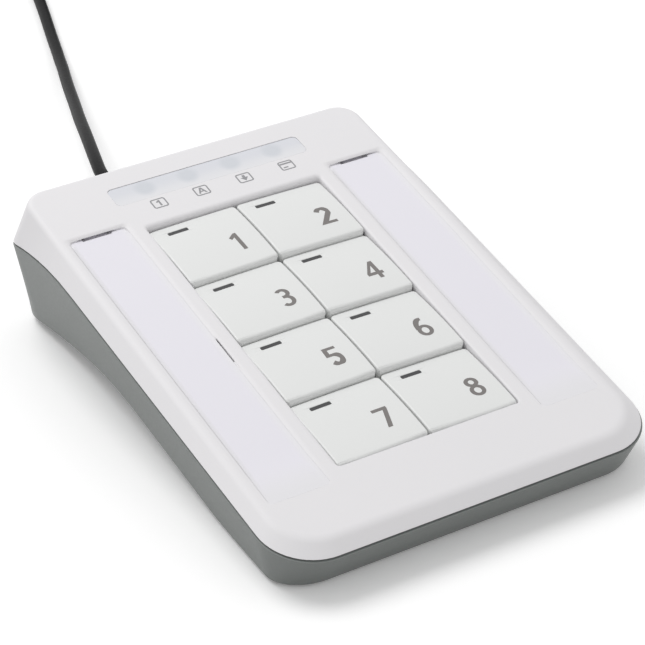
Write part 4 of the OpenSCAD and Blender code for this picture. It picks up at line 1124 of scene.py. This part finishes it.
# %% Keys, light bars and digits
DIGIT_X, DIGIT_Y, DIGIT_TALL, MARK_Y = 4.87, -11.7, 1.15, -14.3
DIGIT_CUTS = [-8.7 - i for i in range(7)]
for k in range(1, 9):
    body, at = "key_%d" % k, key_origin(k)
    place = TO_CASE @ Matrix.Translation(at)

    def dome_z(x, y, sunk=0.0):
        return key_height(x + at.x, y) - sunk

    cap = key_cap(k)
    cut(cap, key_stem(place), "UNION")
    cut(cap, light_bar("bar_cutter", place, 0, 2))
    dress(cap, key_abs, body, [body])
    bar = light_bar("light_bar_%d" % k, place, BAR_PLAY, lambda x, y: dome_z(x, y, BAR_SUNK))
    dress(bar, bar_painted_shade, body, ["key_%d_light_bar" % k])
    digit = printed(DIGITS[k], "digit_%d" % k, DIGIT_X, DIGIT_Y, dome_z, place, DIGIT_CUTS, DIGIT_TALL)
    dress(digit, digit_ink, body, even=False)

for i, (x, shapes) in enumerate(MARKS):
    mark = printed(shapes, "mark_%d" % (i + 1), x, MARK_Y, lambda px, py: 0.0, TO_CASE)
    dress(mark, icon_ink, even=False)

# %% [markdown]
# ## Dome sheet
# Under each key the silicone sheet rises in a hollow dome, which is the key's spring and gives
# way as the key goes down. One sheet can't follow eight keys, so it is made as a flat web with
# eight separate domes on it.

# %% Dome sheet
SHEET_LOW, SHEET_TOP, SHEET_FRONT, SHEET_REAR = -10.53, -9.85, -96.0, -18.7
DOME = [(1.9, 0.75), (3.4, 0), (4.2, 0), (2.3, 1.55), (2.3, 1.95), (2.2, 2.05)]
DOME_HOLE, LAMP_HOLE_W, LAMP_HOLE_D, PRESSED_SHARE = 3.4, 3.2, 2.2, 0.045


def web_outlines(z):
    """The sheet's outline, then for each key the hole under its dome and its lamp's window."""
    shapes = [rounded_rect(-OPEN_HW, OPEN_HW, SHEET_FRONT, SHEET_REAR, 0.5, z)]
    for k in range(1, 9):
        at, w, d = key_origin(k), LAMP_HOLE_W / 2, LAMP_HOLE_D / 2
        x, y = at.x + BAR_X, at.y + BAR_Y
        shapes += [disc(at.x, at.y - KEY_D / 2, DOME_HOLE, z),
                   rounded_rect(x - w, x + w, y - d, y + d, 0.2, z)]
    return shapes


bm = bmesh.new()
for field in zip(*[skin(bm, both) for both in zip(web_outlines(SHEET_LOW), web_outlines(SHEET_TOP))]):
    close_field(bm, *field)
dress(settle(bm, "dome_web", TO_CASE), silicone, replaces=["dome_sheet"])
for k in range(1, 9):
    at = key_origin(k)
    dome = solid("dome_%d" % k, TO_CASE, [disc(at.x, at.y - KEY_D / 2, r, SHEET_TOP + z) for r, z in DOME])
    dress(dome, silicone)
    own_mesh(dome)

# %% [markdown]
# ## Feet
# The feet are rubber pads with a rounded lower edge, glued into round seats.

# %% Feet
def foot(x, y):
    profile = [(3.5, 0.0), (3.85, 0.1), (4.0, 0.4), (4.0, underside(y) + 0.88)]
    return [disc(x, y, r, z, 48) for r, z in profile]


feet = solid("feet", IN_CASE, *[foot(side * x, y) for side in (-1, 1) for x, y in FEET])
dress(feet, foot_rubber, replaces=["rubber_feet"])

# %% [markdown]
# ## Inner pieces
# The parts inside keep their CAD shapes. Each gets the material that it is really made of.

# %% Carried-over CAD pieces
INNER = {
    card_paper: "label_card_left label_card_right", acetal: "key_guide", laminate: "circuit_board",
    lamp_epoxy: "indicator_leds", nylon: "led_spacers", lamp_body: "key_leds", epoxy: "controller_chip",
    nickel: "crystal", ceramic: "small_parts", ivory_nylon: "cord_header cord_connector",
    lead_pvc: "inner_leads", black_pvc: "cord_inner", screw_steel: "board_screws case_screws",
    tie_tape: "cord_tie", white_pbt: "plug_tongue", gold: "plug_contacts"}
for material, names in INNER.items():
    for name in names.split():
        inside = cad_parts[name].data.materials
        inside.clear()
        inside.append(material)
print("materials given to CAD pieces:", len(INNER))

# %% [markdown]
# ## Floor, backdrop and light
# A white table under a plain, even white sky, with one large soft lamp. The table and the sky
# show full white to the camera and to reflections, and the object keeps its shadow.

# %% Floor and sky
def seen_share(tree):
    """1 for rays that show the studio: from the camera, in a reflection or through glass."""
    rays = add(tree, "LightPath").outputs
    seen = rays["Is Camera Ray"]
    for kind in ("Is Glossy Ray", "Is Transmission Ray"):
        seen = add(tree, "Math", {0: seen, 1: rays[kind]}, operation="MAXIMUM")
    return seen


bm = bmesh.new()
bmesh.ops.create_grid(bm, x_segments=1, y_segments=1, size=3000)
floor = settle(bm, "floor", IN_CASE @ Matrix.Translation((0, 0, -0.05)))
floor_white, tree, shader = new_material("matt white table")
seen = seen_share(tree)
glow = add(tree, "Math", {0: seen, 1: 0.12}, operation="MULTIPLY")
white = tinted(tree, "#BCBCBC", (seen, "#FFFFFF"))
feed(tree, shader, dict(Base_Color=white, Emission_Color="#FFFFFF", Emission_Strength=glow, Roughness=0.9,
                        Specular_IOR_Level=0.1))
floor.data.materials.append(floor_white)

world = bpy.context.scene.world = bpy.data.worlds.new("studio")
world.use_nodes = True
sky = world.node_tree
level = add(sky, "MapRange", {0: seen_share(sky), 3: 0.62, 4: 1.0})
feed(sky, sky.nodes["Background"], {"Color": "#FFFFFF", "Strength": level})
print("floor and sky:", floor_white.name, world.name)

# %% Lamp and view
LAMP_AT, LAMP_SIZE, LAMP_POWER = Vector((-0.25, 0.5, 1.0)), 0.7, 5.6
light = bpy.data.lights.new("key_lamp", "AREA")
light.shape, light.size, light.energy = "DISK", LAMP_SIZE, LAMP_POWER
lamp = in_scene("key_lamp", light)
lamp.location = LAMP_AT
lamp.rotation_euler = (-LAMP_AT).to_track_quat("-Z", "Y").to_euler()
bpy.context.scene.view_settings.view_transform = "Standard"
print("lamp %.2f m above the table" % LAMP_AT.z)
